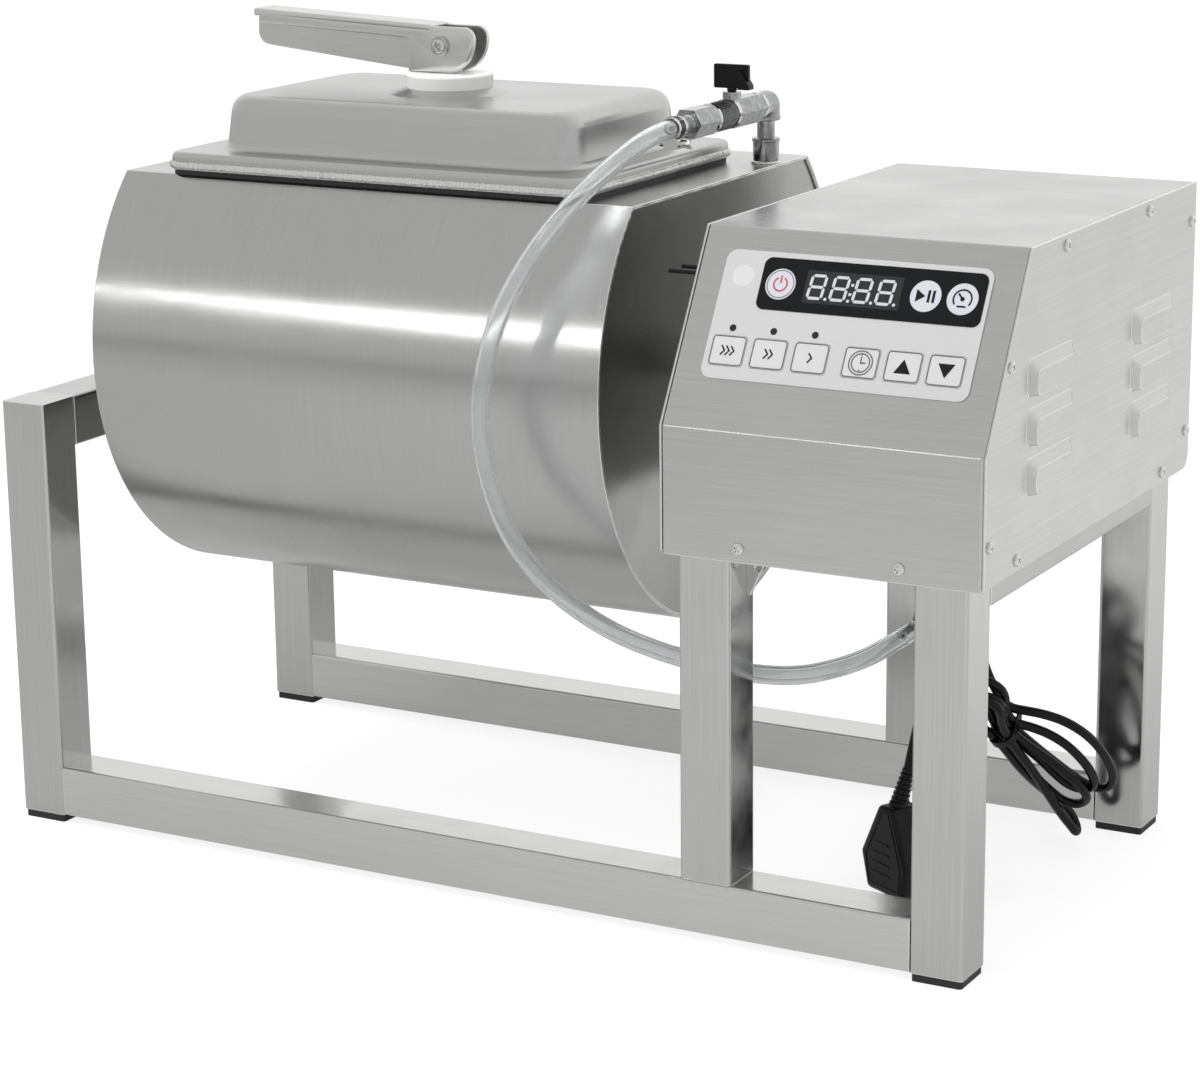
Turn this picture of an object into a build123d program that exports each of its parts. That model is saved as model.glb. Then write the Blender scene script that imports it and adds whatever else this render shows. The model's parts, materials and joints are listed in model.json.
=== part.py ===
"""Bench-top meat vacuum tumbler, in millimetres.

+Z is up and the floor is at z = 0. X runs along the drum, from the open left
frame to the control box. Y runs from the front to the back. The origin is the
centre of the footprint, so the machine stands over it.
"""
from build123d import *
from math import cos, pi, radians, sin, sqrt, tan
import os

os.makedirs("parts", exist_ok=True)

# Frame of square tube
tube_side = 40.0
tube_wall = 1.5
tube_corner = 2.5
foot_height = 6.0
foot_inset = 1.0
foot_plug_height = 12.0
foot_clearance = 0.2
frame_depth = 400.0
left_frame_height = 342.0
leg_gap = 140.0
deck_height = 306.0
inner_rail_height = 14.0
gusset_width = 19.0
gusset_height = 50.0
gusset_nose = 16.0
gusset_thickness = 3.0
gusset_hole = 5.5
gusset_setback = 30.0
gusset_hole_rise = 4.0

# Drum
left_gap = 50.0
right_gap = 56.0
drum_length = 442.0
drum_radius = 198.0
drum_wall = 2.0
flat_height = 136.0
disc_thickness = 2.5
disc_inset = 2.0
baffle_height = 30.0
baffle_base = 46.0
baffle_slope = 62.0
baffle_root = 5.0
baffle_count = 3
baffle_first_angle = 30.0
baffle_end_gap = 20.0
shaft_diameter = 30.0
shaft_end_gap = 4.0
hub_diameter = 100.0
hub_thickness = 8.0
drive_end_diameter = 25.0
shoulder_gap = 1.0
shaft_chamfer = 1.5
shaft_clearance = 0.05

# Mouth, lid and lock
lid_offset = 26.0
mouth_length = 300.0
mouth_width = 190.0
mouth_corner = 26.0
mouth_lip = 20.0
mouth_frame_thickness = 6.0
seal_height = 4.0
seal_width = 14.0
lid_length = 363.0
lid_width = 244.0
lid_corner = 14.0
lid_edge = 4.0
lid_rim = 13.0
lid_sheet = 1.5
dome_length = 313.0
dome_width = 196.0
dome_corner = 35.0
dome_height = 41.0
dome_taper = 8.0
dome_edge = 14.0
dome_foot = 6.0
boss_base = 96.0
boss_top = 69.0
boss_height = 4.0
washer_diameter = 66.0
washer_height = 11.0
washer_edge = 2.5
spindle_diameter = 20.0
spindle_clearance = 0.08
bush_diameter = 34.0
bush_length = 14.0
stud_diameter = 16.0
stud_nut = 24.0
stud_nut_height = 9.0
bar_length = 236.0
bar_width = 36.0
bar_thickness = 10.0
bar_corner = 8.0
bar_gap = 0.5

# Cam lever
cam_radius = 20.7
cam_lift = 8.0
cam_clearance = 0.3
lever_crown = 14.1
lever_tail = 167.0
lever_tip = 10.0
lever_depth = 27.0
lever_drop = 32.5
lever_bend = 30.0
lever_tilt = 2.5
lever_width = 26.0
lever_sheet = 2.0
lever_slot = 8.0
tongue_width = 16.0
tongue_shoulder = 4.0
tongue_rise = 8.5
pin_diameter = 8.0
pin_clearance = 0.05
pin_head_diameter = 15.0
pin_head_height = 3.0
pin_head_edge = 1.2

# Valve at the right end of the flat
valve_inset = 12.0
valve_setback = 95.0
riser_height = 45.0
socket_diameter = 20.0
socket_height = 19.0
pipe_diameter = 13.5
elbow_diameter = 21.0
elbow_leg = 19.0
valve_bore = 8.0
valve_hex = 21.0
valve_hex_length = 48.0
valve_ring_diameter = 20.0
valve_ring_length = 12.0
valve_neck_diameter = 17.0
valve_neck_length = 20.0
tail_nut = 21.0
tail_nut_length = 33.0
barb_diameter = 9.0
barb_ridge = 0.25
valve_barb_length = 26.0
stem_diameter = 6.0
stem_setback = 39.0
stem_boss_diameter = 14.0
stem_boss_height = 16.0
ball_diameter = 11.0
ball_clearance = 0.3
wing_length = 30.0
wing_width = 9.0
wing_height = 20.0
wing_hub_diameter = 15.0
wing_hub_height = 7.0
wing_gap = 0.5
wing_corner = 2.0
clamp_clearance = 0.3
clamp_band = 0.8
clamp_width = 12.0
clamp_inset = 14.0
clamp_screw_diameter = 6.0
clamp_screw_length = 22.0
clamp_box_height = 8.0
clamp_corner = 2.0

# Control box
box_left_overhang = 8.0
box_right_overhang = 16.0
box_front_overhang = 12.0
box_depth = 406.0
box_rise = 206.0
fold_rise = 76.0
fascia_angle = 60.0
sheet = 1.5
bend_radius = 2.2
skirt_drop = 16.0
panel_drop = 14.0
panel_corner = 12.0
panel_flange = 14.0
panel_hole = 40.0
tray_sheet = 2.0
screw_head = 9.0
screw_head_height = 2.2
screw_shank = 4.0
screw_length = 6.0
screw_clearance = 0.2
screw_inset = 8.0
screw_head_edge = 1.3
louvre_length = 84.0
louvre_height = 26.0
louvre_corner = 6.0
louvre_depth = 5.0
louvre_taper = 8.0
louvre_pitch = 34.5
louvre_first_rise = 48.0
louvre_rows = 3
louvre_spacing = 202.0
louvre_setback = 1.0

# Screws of the control box, from the nearest corner or leg
crest_screw_gap = 63.0
rear_crest_screw_gap = 102.0
rear_top_screw_drop = 29.0
rear_low_screw_rise = 14.0
rear_foot_screw_gap = 59.0
front_foot_screw_gap = 57.0
front_low_screw_rise = 12.0
fascia_screw_share = 0.45
inner_leg_screw_gap = 33.0
outer_leg_screw_gap = 26.0
front_screw_drop = 6.0
rear_screw_rise = 10.0

# Key panel
overlay_length = 200.0
overlay_width = 95.0
overlay_corner = 8.0
overlay_thickness = 1.2
overlay_rise = 85.0
window_length = 167.0
window_width = 38.5
window_corner = 6.0
window_shift = 13.5
window_rise = 109.3
window_proud = 0.3
digits_length = 78.0
digits_width = 24.0
cutout_margin = 1.0
key_clearance = 0.3
key_travel = 0.4
key_stop_gap = 0.1
key_thickness = 1.0
round_key = 22.6
square_key_length = 26.0
square_key_width = 22.0
square_key_corner = 2.0
square_key_rise = 58.0
lamp_diameter = 5.0
lamp_rise = 74.8
lamp_proud = 0.2

# Parts inside the box
gearbox_length = 80.0
gearbox_width = 92.0
gearbox_rise = 46.0
gearbox_gap = 16.0
gearbox_corner = 8.0
gearbox_foot = 8.0
gearbox_foot_reach = 12.0
output_boss_diameter = 60.0
output_boss_length = 8.0
drive_end_gap = 4.0
motor_diameter = 84.0
motor_length = 106.0
motor_cap_length = 26.0
motor_step = 2.0
motor_edge = 4.0
pump_front_gap = 47.0
pump_motor_length = 64.0
pump_motor_diameter = 60.0
pump_head_length = 46.0
pump_head_depth = 84.0
pump_head_height = 66.0
pump_foot = 6.0
pump_motor_sink = 1.0
pump_edge = 5.0
port_rise = 22.0
port_pipe = 12.0
port_bend = 13.0
port_shift = 16.0
port_drop = 102.0
port_spigot = 16.0
port_run = 43.0
port_tail = 18.0
port_nut = 22.0
port_nut_height = 6.0
port_barb_length = 18.0
board_length = 190.0
board_width = 85.0
board_thickness = 1.6
board_gap = 8.0
standoff_diameter = 6.0
standoff_inset = 6.0
switch_length = 26.0
switch_height = 16.0
switch_depth = 12.0
switch_corner = 2.0
switch_rise = 172.0
switch_screw_diameter = 3.0
switch_screw_spacing = 20.0
switch_screw_reach = 26.0
switch_front_gap = 66.0

# Left bearing
bearing_height = 43.0
bearing_outer = 62.0
bearing_width = 30.0
bearing_collar = 7.0
bearing_collar_diameter = 44.0
bearing_wall = 9.0
block_inset = 3.0
bearing_base_length = 152.0
bearing_base_height = 14.0
bearing_base_corner = 8.0
bearing_bolt_spacing = 116.0
bearing_bolt = 10.0
bearing_bolt_head = 17.0
bearing_bolt_head_height = 6.5
bearing_bolt_grip = 12.0
bolt_clearance = 0.5

# Hose and mains cord
hose_outer = 14.0
hose_inner = 10.0
cord_diameter = 7.2
gland_thread = 16.0
gland_hex = 22.0
gland_hex_height = 10.0
gland_nose = 21.0
gland_nut_height = 5.0
gland_lip = 1.6
gland_leg_gap = 61.0
gland_setback = 40.0
hank_thickness = 36.0
hank_edge = 4.0
floor_gap = 1.0
plug_turn = 28.0
plug_thickness = 26.0
plug_edge = 4.0
plug_top = 70.0
relief_top = 98.0
relief_wall = 1.0
blade_length = 17.0
blade_width = 6.4
blade_thickness = 2.0
blade_spacing = 18.0
blade_rise = 24.0
earth_blade_rise = 42.0

# Places along X
overall_x = (
    tube_side + left_gap + drum_length + right_gap + box_left_overhang
    + tube_side + leg_gap + tube_side + box_right_overhang + louvre_depth
)
x_left = -overall_x / 2
x_left_post = x_left + tube_side / 2
x_drum_left = x_left + tube_side + left_gap
x_drum_right = x_drum_left + drum_length
x_drum_middle = (x_drum_left + x_drum_right) / 2
x_box_left = x_drum_right + right_gap
x_inner_leg = x_box_left + box_left_overhang + tube_side / 2
x_outer_leg = x_inner_leg + tube_side + leg_gap
x_box_right = x_outer_leg + tube_side / 2 + box_right_overhang
box_length = x_box_right - x_box_left

# Places along Y
overall_y = frame_depth + box_front_overhang + screw_head_height
y_front = box_front_overhang + screw_head_height - overall_y / 2
y_back = y_front + frame_depth
y_axis = y_front + frame_depth / 2
y_lid = y_axis - lid_offset
y_skirt = y_front - box_front_overhang
y_rear = y_skirt + box_depth

# Heights
z_rail = foot_height + tube_side
z_axis = left_frame_height + bearing_height
z_flat = z_axis + flat_height
z_lid = z_flat + seal_height
z_rim_top = z_lid + lid_rim
z_dome_top = z_rim_top + dome_height
z_washer = z_dome_top + boss_height
z_washer_top = z_washer + washer_height
z_pin = z_washer_top + cam_clearance + cam_radius
z_lip = z_flat - drum_wall - mouth_frame_thickness
z_bar_top = z_lip - bar_gap - cam_lift
z_bar = z_bar_top - bar_thickness
z_valve = z_flat + riser_height
z_skirt = deck_height - skirt_drop
z_panel = deck_height - panel_drop
z_fold = deck_height + fold_rise
z_top = deck_height + box_rise
z_tray = deck_height + tray_sheet
z_port = z_tray + port_rise
z_port_end = deck_height - port_drop
y_crest = y_skirt + (z_top - z_fold) / tan(radians(fascia_angle))
fascia_rise = (z_top - z_fold) / sin(radians(fascia_angle))

fascia = Plane(
    origin=(x_box_left, y_skirt, z_fold),
    x_dir=(1, 0, 0),
    z_dir=(0, -sin(radians(fascia_angle)), cos(radians(fascia_angle))),
)


def save(piece, name):
    """Label a finished piece and write it to its own STEP file."""
    piece.part.label = name
    export_step(piece.part, f"parts/{name}.step")


def across_x(x, y=0.0, z=0.0):
    """Return the plane at x that faces +X, whose own axes are Y and Z."""
    return Plane(origin=(x, y, z), x_dir=(0, 1, 0), z_dir=(1, 0, 0))


def across_y(x, y, z):
    """Return the plane at y that faces the front, whose own axes are X and Z."""
    return Plane(origin=(x, y, z), x_dir=(1, 0, 0), z_dir=(0, -1, 0))


def level(x, y, z):
    """Return the level plane at z that faces up."""
    return Plane(origin=(x, y, z))


def along_y(x, y, z):
    """Return the plane at y that faces the back, for runs towards the back."""
    return Plane(origin=(x, y, z), x_dir=(1, 0, 0), z_dir=(0, 1, 0))


# Frame


def tube_run(plane, length, height=tube_side):
    """Add one run of hollow frame tube to the open part."""
    with BuildSketch(plane) as section:
        RectangleRounded(tube_side, height, tube_corner)
        RectangleRounded(
            tube_side - 2 * tube_wall,
            height - 2 * tube_wall,
            tube_corner - tube_wall,
            mode=Mode.SUBTRACT,
        )
    extrude(section.sketch, amount=length)


post_rows = (y_front + tube_side / 2, y_back - tube_side / 2)
corner_columns = (x_left_post, x_outer_leg)
gap_between_posts = frame_depth - 2 * tube_side

with BuildPart() as left_posts:
    for y in post_rows:
        tube_run(level(x_left_post, y, foot_height), left_frame_height - foot_height)
        with BuildSketch(level(x_left_post, y, left_frame_height)):
            RectangleRounded(tube_side, tube_side, tube_corner)
        extrude(amount=-tube_wall)
save(left_posts, "left_posts")

bolt_rows = (y_axis - bearing_bolt_spacing / 2, y_axis + bearing_bolt_spacing / 2)
with BuildPart() as left_top_beam:
    tube_run(
        along_y(x_left_post, y_front + tube_side, left_frame_height - tube_side / 2),
        gap_between_posts,
    )
    with BuildSketch(level(0, 0, left_frame_height)):
        with Locations(*[(x_left_post, y) for y in bolt_rows]):
            Circle(bearing_bolt / 2)
    extrude(amount=-2 * tube_wall, mode=Mode.SUBTRACT)
save(left_top_beam, "left_top_beam")

x_rail_start = x_left + tube_side
x_rail_end = x_outer_leg - tube_side / 2
with BuildPart() as bottom_rails:
    for y in post_rows:
        tube_run(
            across_x(x_rail_start, y, foot_height + tube_side / 2),
            x_rail_end - x_rail_start,
        )
save(bottom_rails, "bottom_rails")

z_inner_leg_top = deck_height - inner_rail_height
with BuildPart() as inner_legs:
    for y in post_rows:
        tube_run(level(x_inner_leg, y, z_rail), z_inner_leg_top - z_rail)
save(inner_legs, "inner_legs")

with BuildPart() as outer_legs:
    for y in post_rows:
        tube_run(level(x_outer_leg, y, foot_height), deck_height - foot_height)
save(outer_legs, "outer_legs")

with BuildPart() as box_rails:
    tube_run(
        along_y(x_outer_leg, y_front + tube_side, deck_height - tube_side / 2),
        gap_between_posts,
    )
    tube_run(
        along_y(x_inner_leg, y_front, deck_height - inner_rail_height / 2),
        frame_depth,
        inner_rail_height,
    )
save(box_rails, "box_rails")

x_gusset = x_inner_leg + tube_side / 2
gusset_rows = (y_front + gusset_setback, y_back - gusset_setback + gusset_thickness)
with BuildPart() as corner_gussets:
    for y in gusset_rows:
        with BuildSketch(across_y(x_gusset, y, deck_height)):
            with BuildLine():
                Polyline(
                    (0, 0),
                    (gusset_width, 0),
                    (gusset_width, -gusset_nose),
                    (gusset_thickness, -gusset_height),
                    (0, -gusset_height),
                    close=True,
                )
            make_face()
            with Locations((gusset_width / 2, gusset_hole_rise - (gusset_nose + gusset_height) / 2)):
                Circle(gusset_hole / 2, mode=Mode.SUBTRACT)
        extrude(amount=gusset_thickness)
save(corner_gussets, "corner_gussets")

foot_side = tube_side - 2 * foot_inset
foot_plug = tube_side - 2 * tube_wall - 2 * foot_clearance
with BuildPart() as rubber_feet:
    with BuildSketch():
        with Locations(*[(x, y) for x in corner_columns for y in post_rows]):
            RectangleRounded(foot_side, foot_side, tube_corner)
    extrude(amount=foot_height)
    with BuildSketch(level(0, 0, foot_height)):
        with Locations(*[(x, y) for x in corner_columns for y in post_rows]):
            RectangleRounded(foot_plug, foot_plug, tube_corner - tube_wall)
    extrude(amount=foot_plug_height)
save(rubber_feet, "rubber_feet")

# Left bearing

block_width = tube_side - 2 * block_inset
block_arch = bearing_outer / 2 + bearing_wall
with BuildPart() as bearing_housing:
    with BuildSketch(across_x(x_left_post - block_width / 2, y_axis, z_axis)):
        with Locations((0, bearing_base_height / 2 - bearing_height)):
            Rectangle(bearing_base_length, bearing_base_height)
        with Locations((0, -bearing_height / 2)):
            Rectangle(2 * block_arch, bearing_height)
        Circle(block_arch)
        Circle(bearing_outer / 2, mode=Mode.SUBTRACT)
    extrude(amount=block_width)
    base_ends = bearing_housing.faces().filter_by(Axis.Y).sort_by(Axis.Y)
    end_edges = base_ends[0].edges() + base_ends[-1].edges()
    fillet(end_edges.filter_by(Axis.Z), bearing_base_corner)
    with BuildSketch(level(x_left_post, y_axis, left_frame_height)):
        with Locations(*[(0, y - y_axis) for y in bolt_rows]):
            Circle(bearing_bolt / 2 + bolt_clearance)
    extrude(amount=bearing_base_height, mode=Mode.SUBTRACT)
save(bearing_housing, "bearing_housing")

bearing_bore = shaft_diameter / 2 + shaft_clearance
with BuildPart() as bearing_insert:
    with BuildSketch(across_x(x_left_post - bearing_width / 2, y_axis, z_axis)):
        Circle(bearing_outer / 2)
    extrude(amount=bearing_width)
    with BuildSketch(across_x(x_left_post + bearing_width / 2, y_axis, z_axis)):
        Circle(bearing_collar_diameter / 2)
    extrude(amount=bearing_collar)
    with BuildSketch(across_x(x_left_post - bearing_width / 2, y_axis, z_axis)):
        Circle(bearing_bore)
    extrude(amount=bearing_width + bearing_collar, mode=Mode.SUBTRACT)
save(bearing_insert, "bearing_insert")

z_bolt_seat = left_frame_height + bearing_base_height
with BuildPart() as bearing_bolts:
    for y in bolt_rows:
        with BuildSketch(level(x_left_post, y, z_bolt_seat)):
            RegularPolygon(bearing_bolt_head / 2, 6, major_radius=False)
        extrude(amount=bearing_bolt_head_height)
        with BuildSketch(level(x_left_post, y, z_bolt_seat)):
            Circle(bearing_bolt / 2)
        extrude(amount=-bearing_base_height - bearing_bolt_grip)
save(bearing_bolts, "bearing_bolts")

# Drum


def drum_outline(radius, flat, mode=Mode.ADD):
    """Add the drum's round outline with its flat top to the open sketch."""
    foot = sqrt(radius**2 - flat**2)
    with BuildLine() as outline:
        Line((-foot, flat), (foot, flat))
        ThreePointArc((foot, flat), (0, -radius), (-foot, flat))
    make_face(outline.edges(), mode=mode)


inner_radius = drum_radius - drum_wall
inner_flat = flat_height - drum_wall
x_valve = x_drum_right - valve_inset
y_valve = y_axis + valve_setback

with BuildPart() as drum_barrel:
    with BuildSketch(across_x(x_drum_left, y_axis, z_axis)):
        drum_outline(drum_radius, flat_height)
        drum_outline(inner_radius, inner_flat, Mode.SUBTRACT)
    extrude(amount=drum_length)
    with BuildSketch(level(x_drum_middle, y_lid, z_flat)):
        RectangleRounded(mouth_length, mouth_width, mouth_corner)
    extrude(amount=-2 * drum_wall, mode=Mode.SUBTRACT)
    with BuildSketch(level(x_valve, y_valve, z_flat)):
        Circle(valve_bore / 2)
    extrude(amount=-2 * drum_wall, mode=Mode.SUBTRACT)
save(drum_barrel, "drum_barrel")

x_left_disc = x_drum_left + disc_inset
x_right_disc = x_drum_right - disc_inset - disc_thickness
for disc_name, x_disc in (("left_end_disc", x_left_disc), ("right_end_disc", x_right_disc)):
    with BuildPart() as end_disc:
        with BuildSketch(across_x(x_disc, y_axis, z_axis)):
            drum_outline(inner_radius, inner_flat)
        extrude(amount=disc_thickness)
    save(end_disc, disc_name)

with BuildPart() as mouth_frame:
    with BuildSketch(level(x_drum_middle, y_lid, z_lip)):
        RectangleRounded(
            mouth_length + 2 * mouth_lip,
            mouth_width + 2 * mouth_lip,
            mouth_corner + mouth_lip,
        )
        RectangleRounded(mouth_length, mouth_width, mouth_corner, mode=Mode.SUBTRACT)
    extrude(amount=mouth_frame_thickness)
save(mouth_frame, "mouth_frame")

x_baffle = x_left_disc + disc_thickness + baffle_end_gap
with BuildPart() as drum_baffles:
    with BuildSketch(across_x(x_baffle, y_axis, z_axis)):
        rib_middle = inner_radius + (baffle_root - baffle_height) / 2
        with PolarLocations(rib_middle, baffle_count, start_angle=baffle_first_angle):
            Trapezoid(baffle_base, baffle_height + baffle_root, baffle_slope, rotation=90)
        Circle(inner_radius, mode=Mode.INTERSECT)
    extrude(amount=x_right_disc - baffle_end_gap - x_baffle)
save(drum_baffles, "drum_baffles")

with BuildPart() as left_stub_shaft:
    with BuildSketch(across_x(x_left_disc, y_axis, z_axis)):
        Circle(hub_diameter / 2)
    extrude(amount=-hub_thickness)
    with BuildSketch(across_x(x_left_disc, y_axis, z_axis)):
        Circle(shaft_diameter / 2)
    extrude(amount=x_left + shaft_end_gap - x_left_disc)
    chamfer(left_stub_shaft.edges().group_by(Axis.X)[0], shaft_chamfer)
save(left_stub_shaft, "left_stub_shaft")

x_hub = x_right_disc + disc_thickness
x_gearbox = x_box_left + gearbox_gap
x_boss = x_gearbox - output_boss_length
x_drive_end = x_gearbox + gearbox_length - drive_end_gap
with BuildPart() as drive_shaft:
    with BuildSketch(across_x(x_hub, y_axis, z_axis)):
        Circle(hub_diameter / 2)
    extrude(amount=hub_thickness)
    with BuildSketch(across_x(x_hub, y_axis, z_axis)):
        Circle(shaft_diameter / 2)
    extrude(amount=x_boss - shoulder_gap - x_hub)
    with BuildSketch(across_x(x_hub, y_axis, z_axis)):
        Circle(drive_end_diameter / 2)
    extrude(amount=x_drive_end - x_hub)
    chamfer(drive_shaft.edges().group_by(Axis.X)[-1], shaft_chamfer)
save(drive_shaft, "drive_shaft")

# Lid and its seal

with BuildPart() as lid_shell:
    with BuildSketch(level(x_drum_middle, y_lid, z_lid)):
        RectangleRounded(lid_length, lid_width, lid_corner)
    extrude(amount=lid_rim)
    rim_edge = lid_shell.edges().group_by(Axis.Z)[-1]
    fillet(rim_edge, lid_edge)
    with BuildSketch(level(x_drum_middle, y_lid, z_rim_top)):
        RectangleRounded(dome_length, dome_width, dome_corner)
    extrude(amount=dome_height, taper=dome_taper)
    fillet(lid_shell.edges().group_by(Axis.Z)[-1], dome_edge)
    rim_face = lid_shell.faces().filter_by(Axis.Z).sort_by(Axis.Z)[-2]
    fillet(rim_face.inner_wires()[0].edges(), dome_foot)
    offset(amount=-lid_sheet, openings=lid_shell.faces().sort_by(Axis.Z)[0])
    with BuildSketch(level(x_drum_middle, y_lid, z_dome_top)):
        Circle(boss_base / 2)
    with BuildSketch(level(x_drum_middle, y_lid, z_washer)):
        Circle(boss_top / 2)
    loft()
    with BuildSketch(level(x_drum_middle, y_lid, z_dome_top - lid_sheet)):
        Circle(bush_diameter / 2)
    extrude(amount=-bush_length)
    with BuildSketch(level(x_drum_middle, y_lid, z_washer)):
        Circle(spindle_diameter / 2 + spindle_clearance)
    extrude(amount=-boss_height - lid_sheet - bush_length, mode=Mode.SUBTRACT)
save(lid_shell, "lid_shell")

seal_corner = lid_corner - lid_sheet
with BuildPart() as lid_seal:
    with BuildSketch(level(x_drum_middle, y_lid, z_flat)):
        RectangleRounded(lid_length - 2 * lid_sheet, lid_width - 2 * lid_sheet, seal_corner)
        RectangleRounded(
            lid_length - 2 * lid_sheet - 2 * seal_width,
            lid_width - 2 * lid_sheet - 2 * seal_width,
            seal_corner / 2,
            mode=Mode.SUBTRACT,
        )
    extrude(amount=seal_height + lid_rim - lid_edge)
save(lid_seal, "lid_seal")

# Lock: washer, spindle, bar, lever and pin

with BuildPart() as nylon_washer:
    with BuildSketch(level(x_drum_middle, y_lid, z_washer)):
        Circle(washer_diameter / 2)
        Circle(spindle_diameter / 2 + spindle_clearance, mode=Mode.SUBTRACT)
    extrude(amount=washer_height)
    fillet(nylon_washer.edges().group_by(Axis.Z)[-1].sort_by(SortBy.RADIUS)[-1], washer_edge)
save(nylon_washer, "nylon_washer")

z_stud_end = z_bar - stud_nut_height
with BuildPart() as lock_spindle:
    with BuildSketch(level(x_drum_middle, y_lid, z_bar_top)):
        Circle(spindle_diameter / 2)
    extrude(amount=z_washer_top + tongue_shoulder - z_bar_top)
    with BuildSketch(level(x_drum_middle, y_lid, z_washer_top)):
        Circle(spindle_diameter / 2)
        Rectangle(tongue_width, tongue_width, mode=Mode.INTERSECT)
    extrude(amount=z_pin + tongue_rise - z_washer_top)
    with BuildSketch(level(x_drum_middle, y_lid, z_bar_top)):
        Circle(stud_diameter / 2)
    extrude(amount=z_stud_end - z_bar_top)
    with BuildSketch(level(x_drum_middle, y_lid, z_stud_end)):
        RegularPolygon(stud_nut / 2, 6, major_radius=False)
    extrude(amount=stud_nut_height)
    with BuildSketch(across_y(x_drum_middle, y_lid, z_pin)):
        Circle(pin_diameter / 2 + pin_clearance)
    extrude(amount=tongue_width, both=True, mode=Mode.SUBTRACT)
save(lock_spindle, "lock_spindle")

with BuildPart() as lock_bar:
    with BuildSketch(level(x_drum_middle, y_lid, z_bar)):
        RectangleRounded(bar_length, bar_width, bar_corner)
        Circle(stud_diameter / 2, mode=Mode.SUBTRACT)
    extrude(amount=bar_thickness)
save(lock_bar, "lock_bar")


def cam_point(angle):
    """Return the point of the cam's edge that touches the washer at a lever angle.

    The height of the pin over the washer grows evenly with the angle, so the
    edge is the involute of a circle whose radius is the lift for each radian.
    """
    growth = cam_lift / (pi / 2)
    reach = cam_radius + growth * angle
    return (
        reach * sin(angle) + growth * cos(angle),
        growth * sin(angle) - reach * cos(angle),
    )


cam_edge = [cam_point(step * pi / 8) for step in range(5)]
cam_nose = cam_edge[-1]
nose_radius = lever_crown - cam_nose[1]
tail_top = lever_crown + lever_tail * tan(radians(lever_tilt))
lever_plane = across_y(x_drum_middle, y_lid, z_pin)

with BuildPart() as lever_handle:
    with BuildSketch(lever_plane) as lever_side:
        with BuildLine():
            Spline(*cam_edge, tangents=[(1, 0), (0, 1)], tangent_scalars=(1, 1))
            TangentArc(cam_nose, (cam_nose[0] - nose_radius, lever_crown), tangent=(0, 1))
            Polyline(
                (cam_nose[0] - nose_radius, lever_crown),
                (0, lever_crown),
                (-lever_tail, tail_top),
                (-lever_tail, tail_top - lever_depth),
                (-lever_bend, lever_crown - lever_drop),
                (-lever_bend, -cam_radius),
                cam_edge[0],
            )
        make_face()
        fillet(lever_side.vertices().group_by(Axis.X)[0], lever_tip)
    extrude(amount=lever_width / 2, both=True)
    with BuildSketch(lever_plane) as lever_channel:
        with BuildLine():
            Polyline(
                (lever_sheet - lever_tail, -2 * lever_drop),
                (lever_sheet - lever_tail, tail_top - lever_sheet),
                (-lever_slot, lever_crown - lever_sheet),
                (-lever_slot, 2 * lever_crown),
                (2 * cam_nose[0], 2 * lever_crown),
                (2 * cam_nose[0], -2 * lever_drop),
                close=True,
            )
        make_face()
        fillet(
            lever_channel.vertices().group_by(Axis.X)[0].sort_by(Axis.Y)[-1],
            lever_tip - lever_sheet,
        )
    extrude(amount=lever_width / 2 - lever_sheet, both=True, mode=Mode.SUBTRACT)
    with BuildSketch(lever_plane):
        Circle(pin_diameter / 2)
    extrude(amount=lever_width, both=True, mode=Mode.SUBTRACT)
save(lever_handle, "lever_handle")

with BuildPart() as lever_pin:
    with BuildSketch(lever_plane):
        Circle(pin_diameter / 2)
    extrude(amount=lever_width / 2, both=True)
    with BuildSketch(across_y(x_drum_middle, y_lid - lever_width / 2, z_pin)):
        Circle(pin_head_diameter / 2)
    extrude(amount=pin_head_height)
    with BuildSketch(along_y(x_drum_middle, y_lid + lever_width / 2, z_pin)):
        Circle(pin_head_diameter / 2)
    extrude(amount=pin_head_height)
    pin_ends = lever_pin.edges().group_by(Axis.Y)
    fillet(pin_ends[0] + pin_ends[-1], pin_head_edge)
save(lever_pin, "lever_pin")

# Valve, from the socket on the flat to the hose tail

y_elbow_face = y_valve - elbow_leg
y_ring = y_elbow_face - valve_hex_length
y_neck = y_ring - valve_ring_length
y_tail_nut = y_neck - valve_neck_length
y_hose_start = y_tail_nut - tail_nut_length
y_stem = y_elbow_face - stem_setback

with BuildPart() as valve_riser:
    with BuildSketch(level(x_valve, y_valve, z_flat)):
        Circle(socket_diameter / 2)
    extrude(amount=socket_height)
    with BuildSketch(level(x_valve, y_valve, z_flat)):
        Circle(pipe_diameter / 2)
    extrude(amount=riser_height)
    with Locations((x_valve, y_valve, z_valve)):
        Sphere(elbow_diameter / 2)
    with BuildSketch(level(x_valve, y_valve, z_valve)):
        Circle(elbow_diameter / 2)
    extrude(amount=-elbow_diameter / 2)
    with BuildSketch(across_y(x_valve, y_valve, z_valve)):
        Circle(elbow_diameter / 2)
    extrude(amount=elbow_leg)
    with BuildSketch(level(x_valve, y_valve, z_flat)):
        Circle(valve_bore / 2)
    extrude(amount=riser_height, mode=Mode.SUBTRACT)
    with BuildSketch(across_y(x_valve, y_valve, z_valve)):
        Circle(valve_bore / 2)
    extrude(amount=elbow_leg, mode=Mode.SUBTRACT)
save(valve_riser, "valve_riser")

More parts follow.
